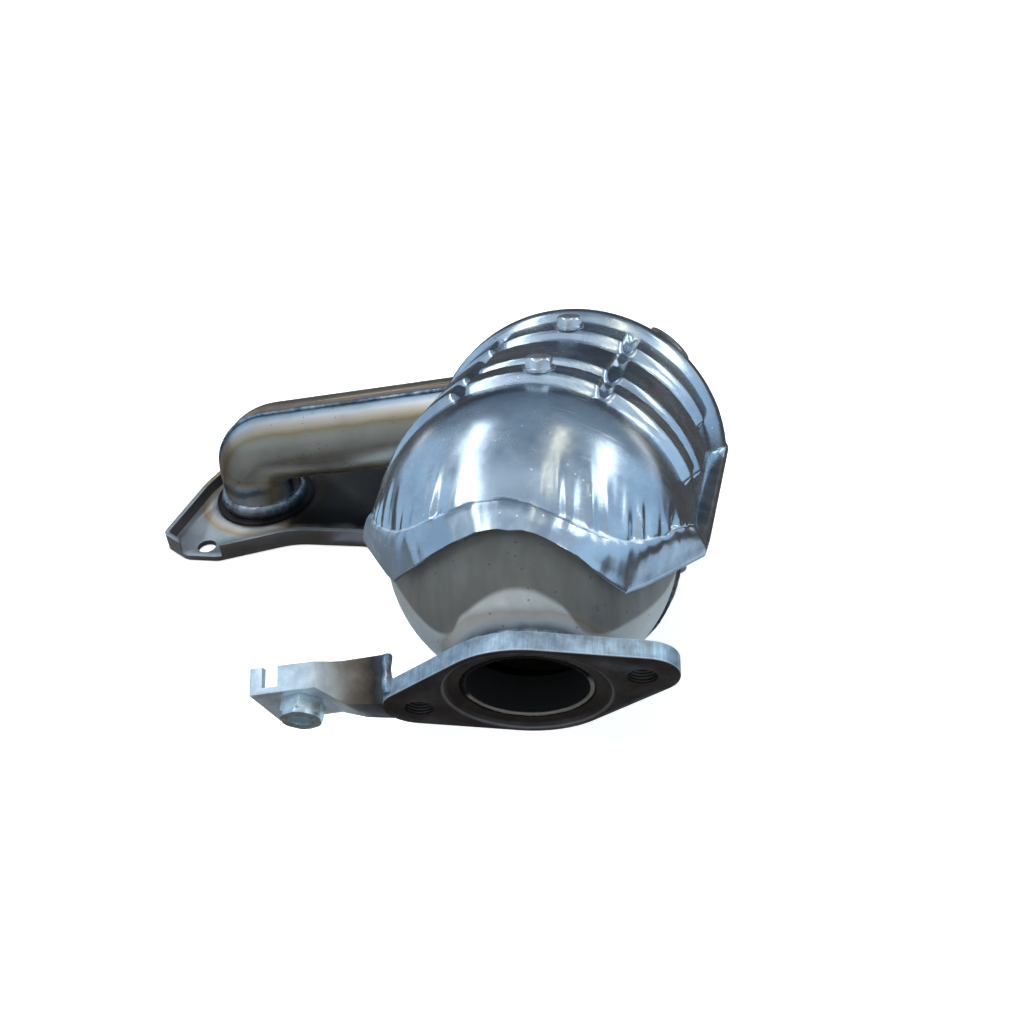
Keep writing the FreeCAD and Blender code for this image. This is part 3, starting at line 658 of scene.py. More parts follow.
def flange_material(rim, face):
    """Blue-grey cut edge with a brown oxidised face."""
    m, g, shader, where = new_material("Flange steel")
    base = tuple(rim)
    edge = g.mottle(where, 150.0, shaded(base, 0.55), base, 0.2)
    brown = g.mottle(where, 60.0, shaded(face, 0.55), tuple(face), 0.3)
    own = in_frame(g, where, TO_OUTLET)
    _, _, z = parts_of(g, own)
    front = g.range(z, -0.0007, -0.0003)
    centre = g.vector("LENGTH", g.vector("MULTIPLY", own, (1.0, 1.0, 0.0)))
    bore = g.times(g.range(centre, 0.0315, 0.033, 1.0, 0.0), g.range(z, -0.0078, -0.0074))
    mask = g.most(front, bore)
    # the sawn edge has marks across its thickness and bright lines along both corners
    sawn = g.noise(g.vector("MULTIPLY", own, (1.0, 1.0, 0.08)), 900.0, detail=3.0)
    side = g.mix(g.times(g.range(sawn, 0.45, 0.62), 0.35), edge, (0.16, 0.20, 0.25))
    corner = g.most(g.range(z, -0.0074, -0.0079), g.range(z, -0.0011, -0.0006))
    side = g.mix(g.times(corner, 0.6), side, (0.80, 0.88, 0.94))
    out = g.mix(mask, side, brown)
    # painted highlight: a pale ring on the face at the step round the bore
    shine = g.times(g.range(g.absolute(g.minus(centre, 0.0322)), 0.0002, 0.0007, 1.0, 0.0), front)
    out = g.mix(g.times(shine, 0.6), out, (0.30, 0.27, 0.24))
    # painted shade: the bore's wall is near-black
    out = g.mix(g.times(g.range(centre, 0.0258, 0.0262, 1.0, 0.0), 0.9), out, (0.012, 0.010, 0.009))
    # painted shade: the bolt holes are near-black inside, with paler thread lines
    hole = g.vector("DISTANCE", g.vector("MULTIPLY", g.vector("ABSOLUTE", own), (1.0, 1.0, 0.0)),
        (0.045, 0.0, 0.0))
    hole = g.range(hole, 0.0056, 0.0059, 1.0, 0.0)
    thread = g.times(g.times(g.math("SINE", g.times(z, 5000.0)), hole), 4.0)
    out = g.mix(hole, out, g.mix(g.range(thread, -1.0, 4.0), (0.012, 0.011, 0.010), (0.085, 0.08, 0.075)))
    surface(g, shader, out, 0.75, g.patchy(where, 110.0, 5.0, 0.36, 0.56))
    height = g.worn(where, 0.8, 620.0, 3.0, 0.8)
    height = g.plus(height, thread)
    bump(g, shader, height, 0.0001, 0.7)
    return m


def zinc_material(name, colour, roughness=(0.24, 0.38)):
    m, g, shader, where = new_material(name)
    cloud = g.mottle(where, 170.0, shaded(colour, 0.7), (*colour, 1.0), 0.3)
    surface(g, shader, cloud, 0.9, g.patchy(where, 240.0, 4.0, *roughness))
    bump(g, shader, g.noise(where, 800.0, detail=3.0), 0.00008, 0.6)
    return m


def bracket_material():
    """Pale steel that turns brown towards its weld at the outlet flange, with painted shade on its lower
    part.
    """
    m, g, shader, where = new_material("Stay bracket steel")
    own = in_frame(g, where, TO_OUTLET)
    x, y, _ = parts_of(g, own)
    wobble = g.wobble(where, 70.0, 4.0, 0.016)
    along = g.range(g.plus(x, wobble), -0.092, -0.055)
    colour = g.ramp(along, [(0.0, (0.80, 0.90, 0.98)), (0.35, (0.55, 0.54, 0.50)),
        (0.62, (0.26, 0.20, 0.15)), (0.85, (0.07, 0.06, 0.055)), (1.0, (0.12, 0.15, 0.19))])
    cloud = g.mottle(where, 90.0, (0.72, 0.72, 0.72, 1), (1, 1, 1, 1), 0.3)
    colour = g.mix(1.0, colour, cloud, "MULTIPLY")
    # painted shade: the bracket's lower part near the flange is near-black
    foot = g.times(g.range(g.plus(y, wobble), 0.007, -0.003), g.range(x, -0.086, -0.068))
    colour = g.mix(g.times(foot, 0.85), colour, (0.045, 0.038, 0.034))
    surface(g, shader, colour, 0.8, g.patchy(where, 110.0, 5.0, 0.34, 0.52))
    bump(g, shader, g.noise(where, 700.0, detail=3.0), 0.00008, 0.7)
    return m


def brick_material():
    """Ceramic block with fine square channels along the can."""
    m, g, shader, where = new_material("Ceramic honeycomb")
    own = in_frame(g, where, TO_CAN)
    x, _, z = parts_of(g, own)
    walls = []
    for axis in (x, z):
        cell = g.math("FRACT", g.math("DIVIDE", axis, 0.0013))
        walls.append(g.math("GREATER_THAN", g.absolute(g.minus(cell, 0.5)), 0.40))
    wall = g.most(walls[0], walls[1])
    # painted shade: the open channels are near-black between the pale walls
    g.join(g.mix(wall, (0.015, 0.013, 0.011), (0.46, 0.38, 0.27)), shader.inputs["Base Color"])
    shader.inputs["Roughness"].default_value = 0.9
    bump(g, shader, wall, 0.0004, 0.8)
    return m


def fibre_material():
    m, g, shader, where = new_material("Support mat fibre")
    cloud = g.mottle(where, 240.0, (0.28, 0.25, 0.20, 1), (0.62, 0.58, 0.50, 1), 0.5)
    g.join(cloud, shader.inputs["Base Color"])
    shader.inputs["Roughness"].default_value = 0.95
    bump(g, shader, g.noise(where, 1500.0, detail=5.0), 0.0004, 0.8)
    return m


# ------------------------------------------------------------------ heat shield
PAD_ROWS = ((12.9, 26.6), (37.3, 66.2), (87.2, 105.5))
PAD_COLUMNS = ((-74.0, -30.5), (-24.0, 22.0), (28.0, 72.0))
PAD_ENDS = (67.0, 72.0, 66.0)
SKIRT = (
    ((0.0, -52.5, 37.8), (0.0, -62.2, 30.3), 0.5),
    ((10.5, -52.5, 36.3), (8.5, -61.9, 28.9), 0.5),
    ((20.0, -52.4, 32.1), (17.5, -61.0, 24.6), 0.6),
    ((28.5, -51.2, 27.6), (26.0, -58.6, 18.8), 0.8),
    ((35.5, -48.7, 23.5), (33.5, -55.2, 12.2), 1.2),
    ((42.5, -44.5, 20.0), (43.3, -49.0, 4.6), 3.0),
    ((48.0, -39.2, 18.5), (49.5, -38.6, 4.3), 4.0),
    ((55.5, -29.2, 16.8), (58.0, -24.0, 4.1), 4.0),
    ((62.0, -11.5, 14.2), (69.0, -5.0, 4.1), 4.0),
    ((64.2, 3.0, 7.2), (69.6, 8.0, 4.1), 4.0),
    ((64.3, 20.0, 6.6), (69.8, 20.0, 4.1), 4.0),
    ((64.3, 127.4, 6.6), (70.2, 127.4, 4.1), 4.0),
)


def ramp_up(t):
    t = min(1.0, max(0.0, t))
    return 0.35 * t + 0.65 * t * t * (3 - 2 * t)


def between(value, low, high, run):
    return ramp_up((value - low + run) / run) * ramp_up((high + run - value) / run)


def lerp_table(value, table):
    for (a, fa), (b, fb) in zip(table, table[1:]):
        if value <= b:
            t = 0.0 if b == a else min(1.0, max(0.0, (value - a) / (b - a)))
            return fa + (fb - fa) * t
    return table[-1][1]


def barrel_radius(y, dome, valley, rim):
    table = ((0.0, dome), (6.0, dome), (8.8, valley), (105.6, valley), (107.0, valley + 0.5),
        (112.6, rim - 0.6), (114.6, rim), (120.5, rim), (122.5, rim - 0.5), (127.4, rim - 3.6))
    return lerp_table(y, table)


def crease_table(dome):
    """(lean angle across, run along) of each crease point on the dome, right side."""
    table = []
    for (x, y, z), _, _ in SKIRT:
        if y < 0:
            table.append((math.degrees(math.asin(min(1.0, x / dome))), -dome * math.atan2(-y, z)))
        else:
            table.append((math.degrees(math.atan2(x, z)), y))
    return table


def shield_point(lean, run, dome, valley, pad, rim):
    """Outside surface of the shield at a lean angle across and a run along it, in the can's frame."""
    a = math.radians(lean)
    if run < 0:
        b = -run / dome
        return Vector((math.sin(a), -math.cos(a) * math.sin(b), math.cos(a) * math.cos(b))) * dome
    r = barrel_radius(run, dome, valley, rim)
    if 6.0 < run < 30.0:
        # low on the sides the dome runs out into the barrel more slowly
        slow = dome + (valley - dome) * ramp_up((run - 6.0) / 24.0)
        r += (slow - r) * ramp_up((abs(lean) - 66.0) / 12.0)
    rise = 0.0
    for a1, a2 in PAD_COLUMNS:
        for (y1, y2), stop in zip(PAD_ROWS, PAD_ENDS):
            rise = max(rise, between(lean, a1, min(a2, stop), 2.9) * between(run, y1, y2, 3.6))
    r += (pad - valley) * rise if run > 8.0 else (pad - valley) * rise * 0.7
    return Vector((r * math.sin(a), run, r * math.cos(a)))


def extrude_once(bm, edges):
    """Extrude a chain of edges in place and return the new verts and the new chain."""
    made = bmesh.ops.extrude_edge_only(bm, edges=edges)["geom"]
    verts = [g for g in made if isinstance(g, bmesh.types.BMVert)]
    live = set(verts)
    return verts, [g for g in made if isinstance(g, bmesh.types.BMEdge) and live.issuperset(g.verts)]


def close_ends(bm):
    bmesh.ops.holes_fill(bm, edges=[e for e in bm.edges if len(e.link_faces) == 1], sides=0)
    bmesh.ops.recalc_face_normals(bm, faces=bm.faces)


class CONVERTER_OT_shield(bpy.types.Operator):
    """Press the heat shield: dome, raised pads, arch, skirt and drawing wrinkles"""
    bl_idname = "converter.shield"
    bl_label = "Heat shield"

    def execute(self, context):
        s = context.scene.converter_shield
        dome, valley, pad, rim = (v / MM for v in (s.dome_radius, s.valley_radius, s.pad_radius,
            s.rim_radius))
        step = s.grid_step / MM * 1.0
        table = crease_table(dome)
        widest = table[-1][0]
        front = [(lean, run) for lean, run in table[:10]] + [(widest, 12.0)]
        columns = int(2 * math.radians(widest) * dome / step)
        rows = int(192.0 / step)
        bm = bmesh.new()
        bmesh.ops.create_grid(bm, x_segments=columns, y_segments=rows, size=1.0)
        drawn = bm.verts.layers.float_vector.new("drawn")
        lean_of = {}
        for v in bm.verts:
            lean = v.co.x * widest
            start = lerp_table(abs(lean), front)
            along = (v.co.y + 1) / 2
            run = start + (SHIELD_END - start) * along
            lean_of[v] = (lean, run, start, v.co.x, v.co.y)
            v.co = shield_point(lean, run, dome, valley, pad, rim)
        creased = [v for v in bm.verts if abs(abs(lean_of[v][3]) - 1) < 1e-6 or abs(lean_of[v][4] + 1) < 1e-6]
        path = set(creased)
        # drawing wrinkles run up the dome from the crease
        bm.normal_update()
        depth = s.wrinkle_depth / MM
        for v in bm.verts:
            lean, run, start, gx, gy = lean_of[v]
            up = run - start
            if run > 6 or up > 46:
                continue
            side = ramp_up((abs(lean) - 8) / 18.0)
            reach = 34 + 16 * noise.noise(Vector((lean * 0.12, 3.3, 0)))
            fade = (1 - ramp_up(up / reach)) ** 1.5 * ramp_up((up + 0.8) / 3.0) * ramp_up((5.0 - run) / 16.0)
            fan = lean * 1.13 + (0.10 * up if lean > 0 else -0.10 * up)
            fold = noise.noise(Vector((fan * 0.17, up * 0.016, 7.7)))
            ridge = 2.6 * math.sqrt(fold * fold + 0.004) + 0.5 * noise.noise(Vector((fan * 0.36, up * 0.03,
                1.7)))
            v.co += v.normal * (depth * side * fade * (0.5 - ridge))
            v[drawn] = (fan, up, side * fade)
            dent = noise.noise(v.co * 0.045)
            v.co += v.normal * 0.12 * dent
        # skirt round the front and along both sides
        edges = [e for e in bm.edges if len(e.link_faces) == 1 and all(v in path for v in e.verts)]
        joints = {}
        for v in creased:
            lean, run, start, gx, gy = lean_of[v]
            side = -1.0 if lean < 0 else 1.0
            if abs(gy + 1) < 1e-6 and abs(gx) < 1 - 1e-6:
                q = lerp_table(abs(lean), [(l, float(i)) for i,
                    (l, r) in enumerate(table[:10])] + [(widest, SIDE_START)])
            else:
                q = lerp_table(run, [(3.0, 9.0), (20.0, 10.0), (SHIELD_END, 11.0)])
                q = max(q, SIDE_START)
            i = min(int(q), len(SKIRT) - 2)
            t = q - i
            ca, ea, da = SKIRT[i]
            cb, eb, db = SKIRT[i + 1]
            c = Vector(ca).lerp(Vector(cb), t)
            e = Vector(ea).lerp(Vector(eb), t)
            if q >= SIDE_START:
                e.y = run
            drop = da + (db - da) * t
            # the real lip hangs lower on one side than on the other
            e.z += (2.2 if side > 0 else -0.9) * between(q, 1.6, 3.4, 1.3)
            joints[v] = (Vector((e.x * side, e.y, e.z)), drop, q, side)
        spread = (0.04, 0.10, 0.19, 0.32, 0.50, 0.74, 1.0)
        out_steps = len(spread)
        ring = {v: v for v in creased}
        start_of = {v: v.co.copy() for v in creased}
        for k in range(1, out_steps + 3):
            new_verts, edges = extrude_once(bm, edges)
            old_of = {}
            for nv in new_verts:
                for e in nv.link_edges:
                    other = e.other_vert(nv)
                    if other in ring:
                        old_of[nv] = ring[other]
            for nv, root in old_of.items():
                e, drop, q, side = joints[root]
                base = start_of[root]
                if k <= out_steps:
                    t = spread[k - 1]
                    p = base.lerp(e, t)
                    away = base.copy()
                    away.y = min(away.y, 0.0)
                    lift = (away - (e - base) * away.dot(e - base) / (e - base).length_squared).normalized()
                    roll = 1.5 if q < 8.5 else 0.5
                    p += lift * roll * math.sin(math.pi * t ** 0.6)
                    if q < 8.5:
                        wave = noise.noise(Vector((q * 2.6 * side, t * 1.2,
                            4.4))) + 0.5 * noise.noise(Vector((q * 6.0 * side, t * 2.0, 9.1)))
                        strength = 0.55 if q > 2.2 else 0.22
                        p += lift * wave * strength * math.sin(math.pi * min(1.0, t * 1.1) * 0.85)
                else:
                    t = (k - out_steps) / 2
                    hinge = Vector((e.x, min(e.y, 0), 0)).normalized()
                    p = e + Vector((0, 0, -drop * t)) + hinge * (0.25 * math.sin(math.pi * t))
                nv.co = p
                nv[drawn] = (side * q * 9.0, -14.0 * k / out_steps, 0.5 if q > 2.0 else 0.2)
            ring = {nv: root for nv, root in old_of.items()}
        bmesh.ops.smooth_vert(bm, verts=list(start_of), factor=0.35, use_axis_x=True, use_axis_y=True,
            use_axis_z=True)
        bmesh.ops.recalc_face_normals(bm, faces=bm.faces)
        top = max(bm.faces, key=lambda f: f.calc_center_median().z)
        if top.normal.z < 0:
            bmesh.ops.reverse_faces(bm, faces=bm.faces)
        piece = to_object("shield_sheet", bm, shield_material(s.colour), ("heat_shield",),
            place=TO_CAN, sharp=60.0)
        wall = piece.modifiers.new("Sheet", "SOLIDIFY")
        wall.thickness = s.sheet
        wall.offset = -1.0
        wall.use_even_offset = False
        return {"FINISHED"}


# ------------------------------------------------------------------ tubes and cans
def push(bm, edges, vec, steps):
    """Extrude a ring of edges along a line and return its new end."""
    for _ in range(steps):
        verts, edges = extrude_once(bm, edges)
        bmesh.ops.translate(bm, vec=vec / steps, verts=verts)
    return edges


def seam_bead(radius, offset, seed):
    """Weld bead along the first runner, on the outside (1) or inside (-1) of its bend."""
    port = PORTS[0]
    knee, end = Vector((-98.0, 0.0, 39.4)), Vector((90.9, -18.0, 84.0))
    out = (end - knee).normalized()
    level = Vector((out.x, out.y, 0)).normalized()
    angle = math.acos(out.z)
    t = BEND_R * math.tan(angle / 2)
    stop = knee.z - t
    centre = Vector((knee.x, knee.y, stop)) + level * BEND_R
    across = Vector((-level.y, level.x, 0))
    swing = math.radians(SEAM_SWING)
    start = port - (level * math.cos(swing) + across * math.sin(swing)) * TUBE_R * offset
    bm = bmesh.new()
    bmesh.ops.create_circle(bm, cap_ends=False, radius=radius, segments=10)
    bmesh.ops.translate(bm, vec=(start.x, start.y, 12.0), verts=bm.verts)
    edges = bm.edges[:]

    edges = push(bm, edges, Vector((0, 0, stop - 12.0)), 8)
    axis = Vector((0, 0, 1)).cross(level).normalized()
    verts = list({v for e in edges for v in e.verts})
    made = bmesh.ops.spin(bm, geom=verts + edges, cent=centre, axis=axis, angle=angle,
        steps=44 if offset > 0 else 8, use_merge=False, use_duplicate=False)
    edges = [g for g in made["geom_last"] if isinstance(g, bmesh.types.BMEdge)]
    run = (end - knee).length - t - (62.0 if offset > 0 else 66.0)
    edges = push(bm, edges, out * run, int(run))
    close_ends(bm)
    rough_bead(bm, 0.10, 0.22, seed, 1.7)
    return bm


class CONVERTER_OT_runners(bpy.types.Operator):
    """Finish the three runners and the collector, with the seam weld along the first runner"""
    bl_idname = "converter.runners"
    bl_label = "Runners and collector"

    def execute(self, context):
        s = context.scene.converter_tubes
        level = Vector((188.9, -18.0, 0)).normalized()
        across = Vector((-level.y, level.x, 0))
        seam = plane_distance(PORTS[0], across, -TUBE_R * math.sin(math.radians(SEAM_SWING)))
        shell = stainless_material("Runner half shells", s.steel,
            [(ring_distance((-98, 0, 9), 23.5), 0.008, 0.6), (seam, 0.0165, 0.85)], roughness=(0.26, 0.42),
            seam=seam)
        to_object("runner_1_piece", node_copy("runner_1_front", "runner_1_rear"), shell,
            ("runner_1_front", "runner_1_rear"), unit=1.0)
        weld = weld_material()
        to_object("runner_seam_outside", seam_bead(s.bead_radius / MM, 1, 5.0), weld, sharp=80)
        to_object("runner_seam_inside", seam_bead(s.bead_radius / MM * 0.8, -1, 9.0), weld, sharp=80)
        plain = stainless_material("Runner tube", s.steel,
            [(ring_distance((0, 0, 9), 23.5), 0.008, 0.6), (ring_distance((98, 0, 9), 23.5), 0.008, 0.6)])
        for node in ("runner_2", "runner_3"):
            finished_node(node, plain)
        finished_node("collector", stainless_material("Collector shell", s.steel), sharp=30)
        for i, port in enumerate(PORTS):
            bm = ring_bead(TUBE_R, s.port_bead_radius / MM, 0.0, ripple=0.25, lump=0.5, seed=3.0 + i,
                pitch=2.6, flat_ratio=1.6)
            to_object(f"port_weld_{i + 1}_bead", bm, weld, (f"port_weld_{i + 1}",),
                place=Matrix.Translation(port + Vector((0, 0, 4.9))), sharp=80)
        return {"FINISHED"}


class CONVERTER_OT_can(bpy.types.Operator):
    """Finish the can, its ceramic blocks, mats and the two girth welds"""
    bl_idname = "converter.can"
    bl_label = "Can and inside"

    def execute(self, context):
        s = context.scene.converter_tubes
        steel = stainless_material("Can steel", s.steel)
        finished_node("converter_can", steel)
        weld = bpy.data.materials["Weld bead"]
        for name, y, seed in (("cone_weld", 1.0, 2.0), ("collector_weld", 122.0, 4.0)):
            bm = ring_bead(CAN_R, 1.7, 0.0, ripple=0.18, lump=0.2, seed=seed, pitch=1.8, flat_ratio=0.42)
            turn = Matrix.Rotation(math.radians(-90), 4, "X")
            # lay the flattened side against the can
            to_object(name + "_bead", bm, weld, (name,),
                place=TO_CAN @ Matrix.Translation((0, y, 0)) @ turn, sharp=80)
        brick, fibre = brick_material(), fibre_material()
        for node in ("substrate_front", "substrate_rear"):
            finished_node(node, brick)
        for node in ("support_mat", "mat_ring_front", "mat_ring_rear"):
            finished_node(node, fibre)
        finished_node("sensor_bung", zinc_material("Bung steel", (0.40, 0.41, 0.41), (0.3, 0.45)),
            0.0005)
        return {"FINISHED"}


class CONVERTER_OT_outlet(bpy.types.Operator):
    """Finish the outlet bulb, pipe, flange and their welds"""
    bl_idname = "converter.outlet"
    bl_label = "Outlet"

    def execute(self, context):
        p = context.scene.converter_plates
        weld = bpy.data.materials["Weld bead"]
        foot = TO_OUTLET @ Vector((0, 0, -12.0))
        # the bulb's pale steel stands for its lit lower part; painted shadow under the arch and painted shade
        # on its sides darken the rest
        cone = stainless_material("Outlet bulb steel", (0.88, 0.92, 0.92, 1),
            [(ring_distance(foot, 26.5), 0.0095, 0.42)], roughness=(0.42, 0.56), metallic=0.3,
            inside=inside_bulb, darkening=painted_arch_shadow)
        finished_node("outlet_cone", cone)
        finished_node("outlet_pipe", cone)
        bm = ring_bead(27.6, 2.6, -10.4, ripple=0.35, lump=0.5, seed=8.0, pitch=2.0, flat_ratio=0.8)
        to_object("outlet_weld_bead", bm, weld, ("outlet_weld",), place=TO_OUTLET, sharp=80)
        bm = ring_bead(24.5, 0.85, -3.0, ripple=0.15, lump=0.25, seed=6.0, pitch=1.6, flat_ratio=0.8)
        to_object("bore_weld_bead", bm, bore_weld_material(), ("bore_weld",), place=TO_OUTLET,
            sharp=80)
        finished_node("outlet_flange", flange_material(p.flange, p.face), p.edge, sharp=30)
        return {"FINISHED"}


class CONVERTER_OT_head_plate(bpy.types.Operator):
    """Finish the pressed head flange"""
    bl_idname = "converter.head_plate"
    bl_label = "Head flange"

    def execute(self, context):
        p = context.scene.converter_plates
        finished_node("head_flange", plate_material(p.plate), p.edge, sharp=30)
        return {"FINISHED"}


def stay_weld():
    """Lumpy bead down the corner between the stay bracket and the outlet flange, in millimetres."""
    bm = bmesh.new()
    bmesh.ops.create_circle(bm, cap_ends=False, radius=2.3, segments=16)
    top, foot = Vector((-54.6, 12.2, -18.2)), Vector((-52.6, 10.6, -2.4))
    bmesh.ops.translate(bm, vec=top, verts=bm.verts)
    push(bm, bm.edges[:], foot - top, 22)
    close_ends(bm)
    rough_bead(bm, 0.35, 1.6, 12.0, 2.4)
    return bm


class CONVERTER_OT_stay(bpy.types.Operator):
    """Finish the stay bracket, its weld nut and its weld"""
    bl_idname = "converter.stay"
    bl_label = "Stay bracket"

    def execute(self, context):
        p = context.scene.converter_plates
        finished_node("stay_bracket", bracket_material(), p.edge * 0.8, sharp=30)
        to_object("stay_weld_bead", stay_weld(), bpy.data.materials["Weld bead"], place=TO_OUTLET,
            sharp=80)
        finished_node("stay_nut", zinc_material("Nut zinc", (0.76, 0.88, 0.92)), p.edge, sharp=30)
        return {"FINISHED"}


class CONVERTER_OT_fixings(bpy.types.Operator):
    """Finish the shield's bolts, clip brackets and nuts"""
    bl_idname = "converter.fixings"
    bl_label = "Shield fixings"

    def execute(self, context):
        zinc = zinc_material("Bolt zinc", (0.78, 0.84, 0.87), (0.16, 0.28))
        plate = zinc_material("Clip steel", (0.36, 0.37, 0.38), (0.35, 0.5))
        for end in ("near", "far"):
            finished_node(f"shield_bolt_{end}", zinc, 0.00035, sharp=30)
            finished_node(f"shield_nut_{end}", zinc, 0.0003, sharp=30)
            finished_node(f"shield_bracket_{end}", plate, 0.0002, sharp=30)
        return {"FINISHED"}


# ------------------------------------------------------------------ stage
def card(name, centre, u, v, colour):
    """Reflection card: shows in the metal's gloss only."""
    bm = bmesh.new()
    bmesh.ops.create_grid(bm, x_segments=1, y_segments=1, size=0.5)
    for vert in bm.verts:
        vert.co = Vector(centre) + Vector(u) * vert.co.x + Vector(v) * vert.co.y
    material = bpy.data.materials.new(name)
    piece = link_mesh(name, bm, material)
    g = empty_graph(material)
    glow = g.add("Emission")
    glow.inputs[0].default_value = (*colour, 1.0)
    g.join(glow.outputs[0], g.add("OutputMaterial").inputs[0])
    for ray in ("camera", "diffuse", "shadow", "transmission", "volume_scatter"):
        setattr(piece, "visible_" + ray, False)
    piece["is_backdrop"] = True


def lamp(name, where, aim, size, power, colour=(1, 1, 1)):
    data = bpy.data.lights.new(name, "AREA")
    data.shape = "RECTANGLE"
    data.size, data.size_y = size
    data.energy = power
    data.color = colour
    piece = bpy.data.objects.new(name, data)
    out = (Vector(where) - Vector(aim)).normalized()
    side = Vector((0, 1, 0)).cross(out).normalized()
    piece.matrix_world = Matrix.Translation(where) @ Matrix((side, out.cross(side),
        out)).transposed().to_4x4()
    bpy.context.scene.collection.objects.link(piece)
    return piece


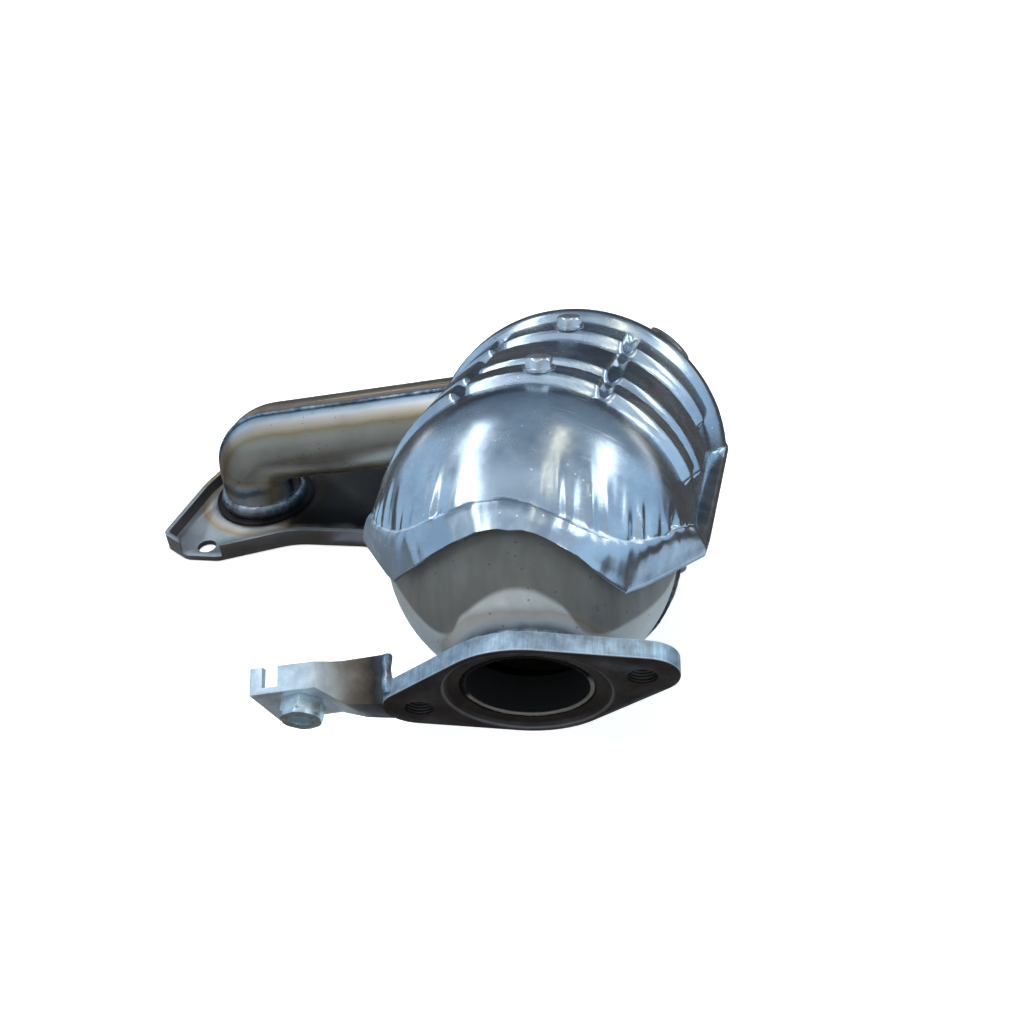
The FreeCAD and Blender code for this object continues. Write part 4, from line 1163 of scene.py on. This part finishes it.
class CONVERTER_OT_stage(bpy.types.Operator):
    """Set up the floor, room light, lamps, reflection cards and camera"""
    bl_idname = "converter.stage"
    bl_label = "Stage"

    def execute(self, context):
        s = context.scene.converter_stage
        scene = context.scene
        scene.view_settings.view_transform = "Standard"
        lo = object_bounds()[0]
        world = bpy.data.worlds.new("Room")
        scene.world = world
        g = empty_graph(world)
        path = g.add("LightPath")
        seen = g.most(g.most(path.outputs["Is Camera Ray"], path.outputs["Is Transmission Ray"]),
            path.outputs["Is Glossy Ray"])
        room = g.add("Background")
        level = g.plus(g.times(seen, 1.0 - s.ambient), s.ambient)
        tint = g.mix(seen, (0.93, 0.96, 1.0), (1.0, 1.0, 1.0))
        g.join(tint, room.inputs[0])
        g.join(level, room.inputs[1])
        g.join(room.outputs[0], g.add("OutputWorld").inputs[0])

        bm = bmesh.new()
        bmesh.ops.create_grid(bm, x_segments=1, y_segments=1, size=6.0)
        bmesh.ops.translate(bm, vec=(0, 0, lo.z - 0.0008), verts=bm.verts)
        material = bpy.data.materials.new("Pale floor")
        floor = link_mesh("floor", bm, material)
        g = empty_graph(material)
        matt = g.add("BsdfDiffuse")
        matt.inputs[0].default_value = (0.80, 0.80, 0.80, 1)
        glow = g.add("Emission")
        path = g.add("LightPath")
        g.join(g.times(path.outputs["Is Camera Ray"], 0.72), glow.inputs[1])
        both = g.add("AddShader")
        g.join(matt.outputs[0], both.inputs[0])
        g.join(glow.outputs[0], both.inputs[1])
        g.join(both.outputs[0], g.add("OutputMaterial").inputs[0])
        floor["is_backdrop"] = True

        aim = CAN_PLACE * MM
        # the room that the metal mirrors: centre, two sides and colour of each card
        for name, centre, u, v, colour in (
            ("card_back", (-0.45, 2.4, 0.18), (3.0, 0, 0), (0, 0, 0.56), (0.022, 0.032, 0.048)),
            ("card_back_middle", (0, 2.42, 0.78), (6, 0, 0), (0, 0, 0.75), (0.15, 0.21, 0.28)),
            ("card_back_high", (0, 2.4, 1.52), (6, 0, 0), (0, 0, 0.78), (0.20, 0.26, 0.33)),
            ("card_ceiling_rear", (0, 1.35, 1.9), (6, 0, 0), (0, 2.3, 0), (0.25, 0.33, 0.42)),
            ("card_ceiling_front", (0, -1.15, 1.9), (6, 0, 0), (0, 2.7, 0), (0.44, 0.54, 0.64)),
            ("card_overhead", (-0.30, -0.42, 1.85), (1.5, 0, 0), (0, 0.5, 0), (0.72, 0.84, 0.95)),
            ("card_left", (-2.6, 0, 0.8), (0, 5, 0), (0, 0, 2.2), (0.44, 0.62, 0.80)),
            ("card_right", (2.6, 0, 0.8), (0, 5, 0), (0, 0, 2.2), (0.42, 0.60, 0.80)),
            ("card_front", (0, -2.4, 0.8), (6, 0, 0), (0, 0, 2.2), (0.40, 0.46, 0.50)),
            ("card_low", (0, 0, lo.z - 0.0004), (6, 0, 0), (0, 5, 0), (0.075, 0.07, 0.065)),
            ("card_low_front", (0.17, -0.1225, lo.z - 0.0002), (0.44, 0, 0), (0, 0.165, 0),
                (0.52, 0.67, 0.82)),
            ("card_low_left", (-0.36, -0.37, lo.z - 0.0002), (0.47, 0, 0), (0, 0.66, 0), (0.30, 0.34, 0.36)),
        ):
            card(name, centre, u, v, colour)
        # place seen from the aim, size, power and colour of each lamp; the last three give no highlights
        cool = (0.90, 0.96, 1.0)
        for name, place, size, power, colour, glossy in (
            ("strip_left", (-0.95, 0.25, 1.40), (0.30, 2.2), s.strip_power, cool, True),
            ("strip_right", (1.40, 0.55, 1.33), (0.36, 1.9), s.strip_power, cool, True),
            ("warm_line", (0.40, 0.35, 1.36), (0.10, 1.4), 1.2, (1.0, 0.86, 0.60), True),
            ("overhead", (-0.10, 0.24, 1.43), (0.12, 0.10), s.key_power * 5.0, cool, False),
            ("key_left", (-0.85, -1.15, 1.25), (0.18, 0.18), s.key_power, cool, False),
            ("key_right", (0.80, -1.10, 1.35), (0.18, 0.18), s.key_power * 0.8, cool, False),
        ):
            lamp(name, aim + Vector(place), aim, size, power, colour).visible_glossy = glossy

        data = bpy.data.cameras.new("camera")
        data.sensor_width = 36.0
        data.lens = 1.379917285 * data.sensor_width
        data.clip_start, data.clip_end = 0.01, 50
        camera = bpy.data.objects.new("camera", data)
        right = Vector((0.97978756, 0.1777538, -0.09176019))
        up = Vector((-0.03742283, 0.61348232, 0.78882126))
        back = Vector((0.19650923, -0.76944333, 0.60773439))
        camera.matrix_world = Matrix.Translation(Vector((193.50602, -591.335554,
            465.973126)) * MM) @ Matrix((right, up, back)).transposed().to_4x4()
        scene.collection.objects.link(camera)
        scene.camera = camera
        return {"FINISHED"}


class CONVERTER_PT_panel(bpy.types.Panel):
    """Buttons that build each group of the converter"""
    bl_label = "Catalytic converter"
    bl_idname = "CONVERTER_PT_panel"
    bl_space_type = "VIEW_3D"
    bl_region_type = "UI"
    bl_category = "Converter"

    def draw(self, context):
        layout = self.layout
        for step in STEPS:
            layout.operator(step)
        for setting in SETTINGS:
            owner = getattr(context.scene, setting)
            box = layout.box()
            for name in owner.bl_rna.properties.keys():
                if name not in ("rna_type", "name"):
                    box.prop(owner, name)


OPERATORS = (CONVERTER_OT_shield, CONVERTER_OT_runners, CONVERTER_OT_can, CONVERTER_OT_outlet,
             CONVERTER_OT_head_plate, CONVERTER_OT_stay, CONVERTER_OT_fixings, CONVERTER_OT_stage)
STEPS = [operator.bl_idname for operator in OPERATORS]
SETTINGS = {"converter_shield": ShieldSettings, "converter_tubes": TubeSettings,
            "converter_plates": PlateSettings, "converter_stage": StageSettings}
CLASSES = (*SETTINGS.values(), *OPERATORS, CONVERTER_PT_panel)


def register():
    for item in CLASSES:
        bpy.utils.register_class(item)
    for name, kind in SETTINGS.items():
        setattr(bpy.types.Scene, name, bpy.props.PointerProperty(type=kind))


def unregister():
    for name in SETTINGS:
        delattr(bpy.types.Scene, name)
    for item in reversed(CLASSES):
        bpy.utils.unregister_class(item)


def main():
    register()
    build_groups()
    for step in STEPS:
        group, name = step.split(".")
        getattr(getattr(bpy.ops, group), name)()


if __name__ == "__main__":
    main()
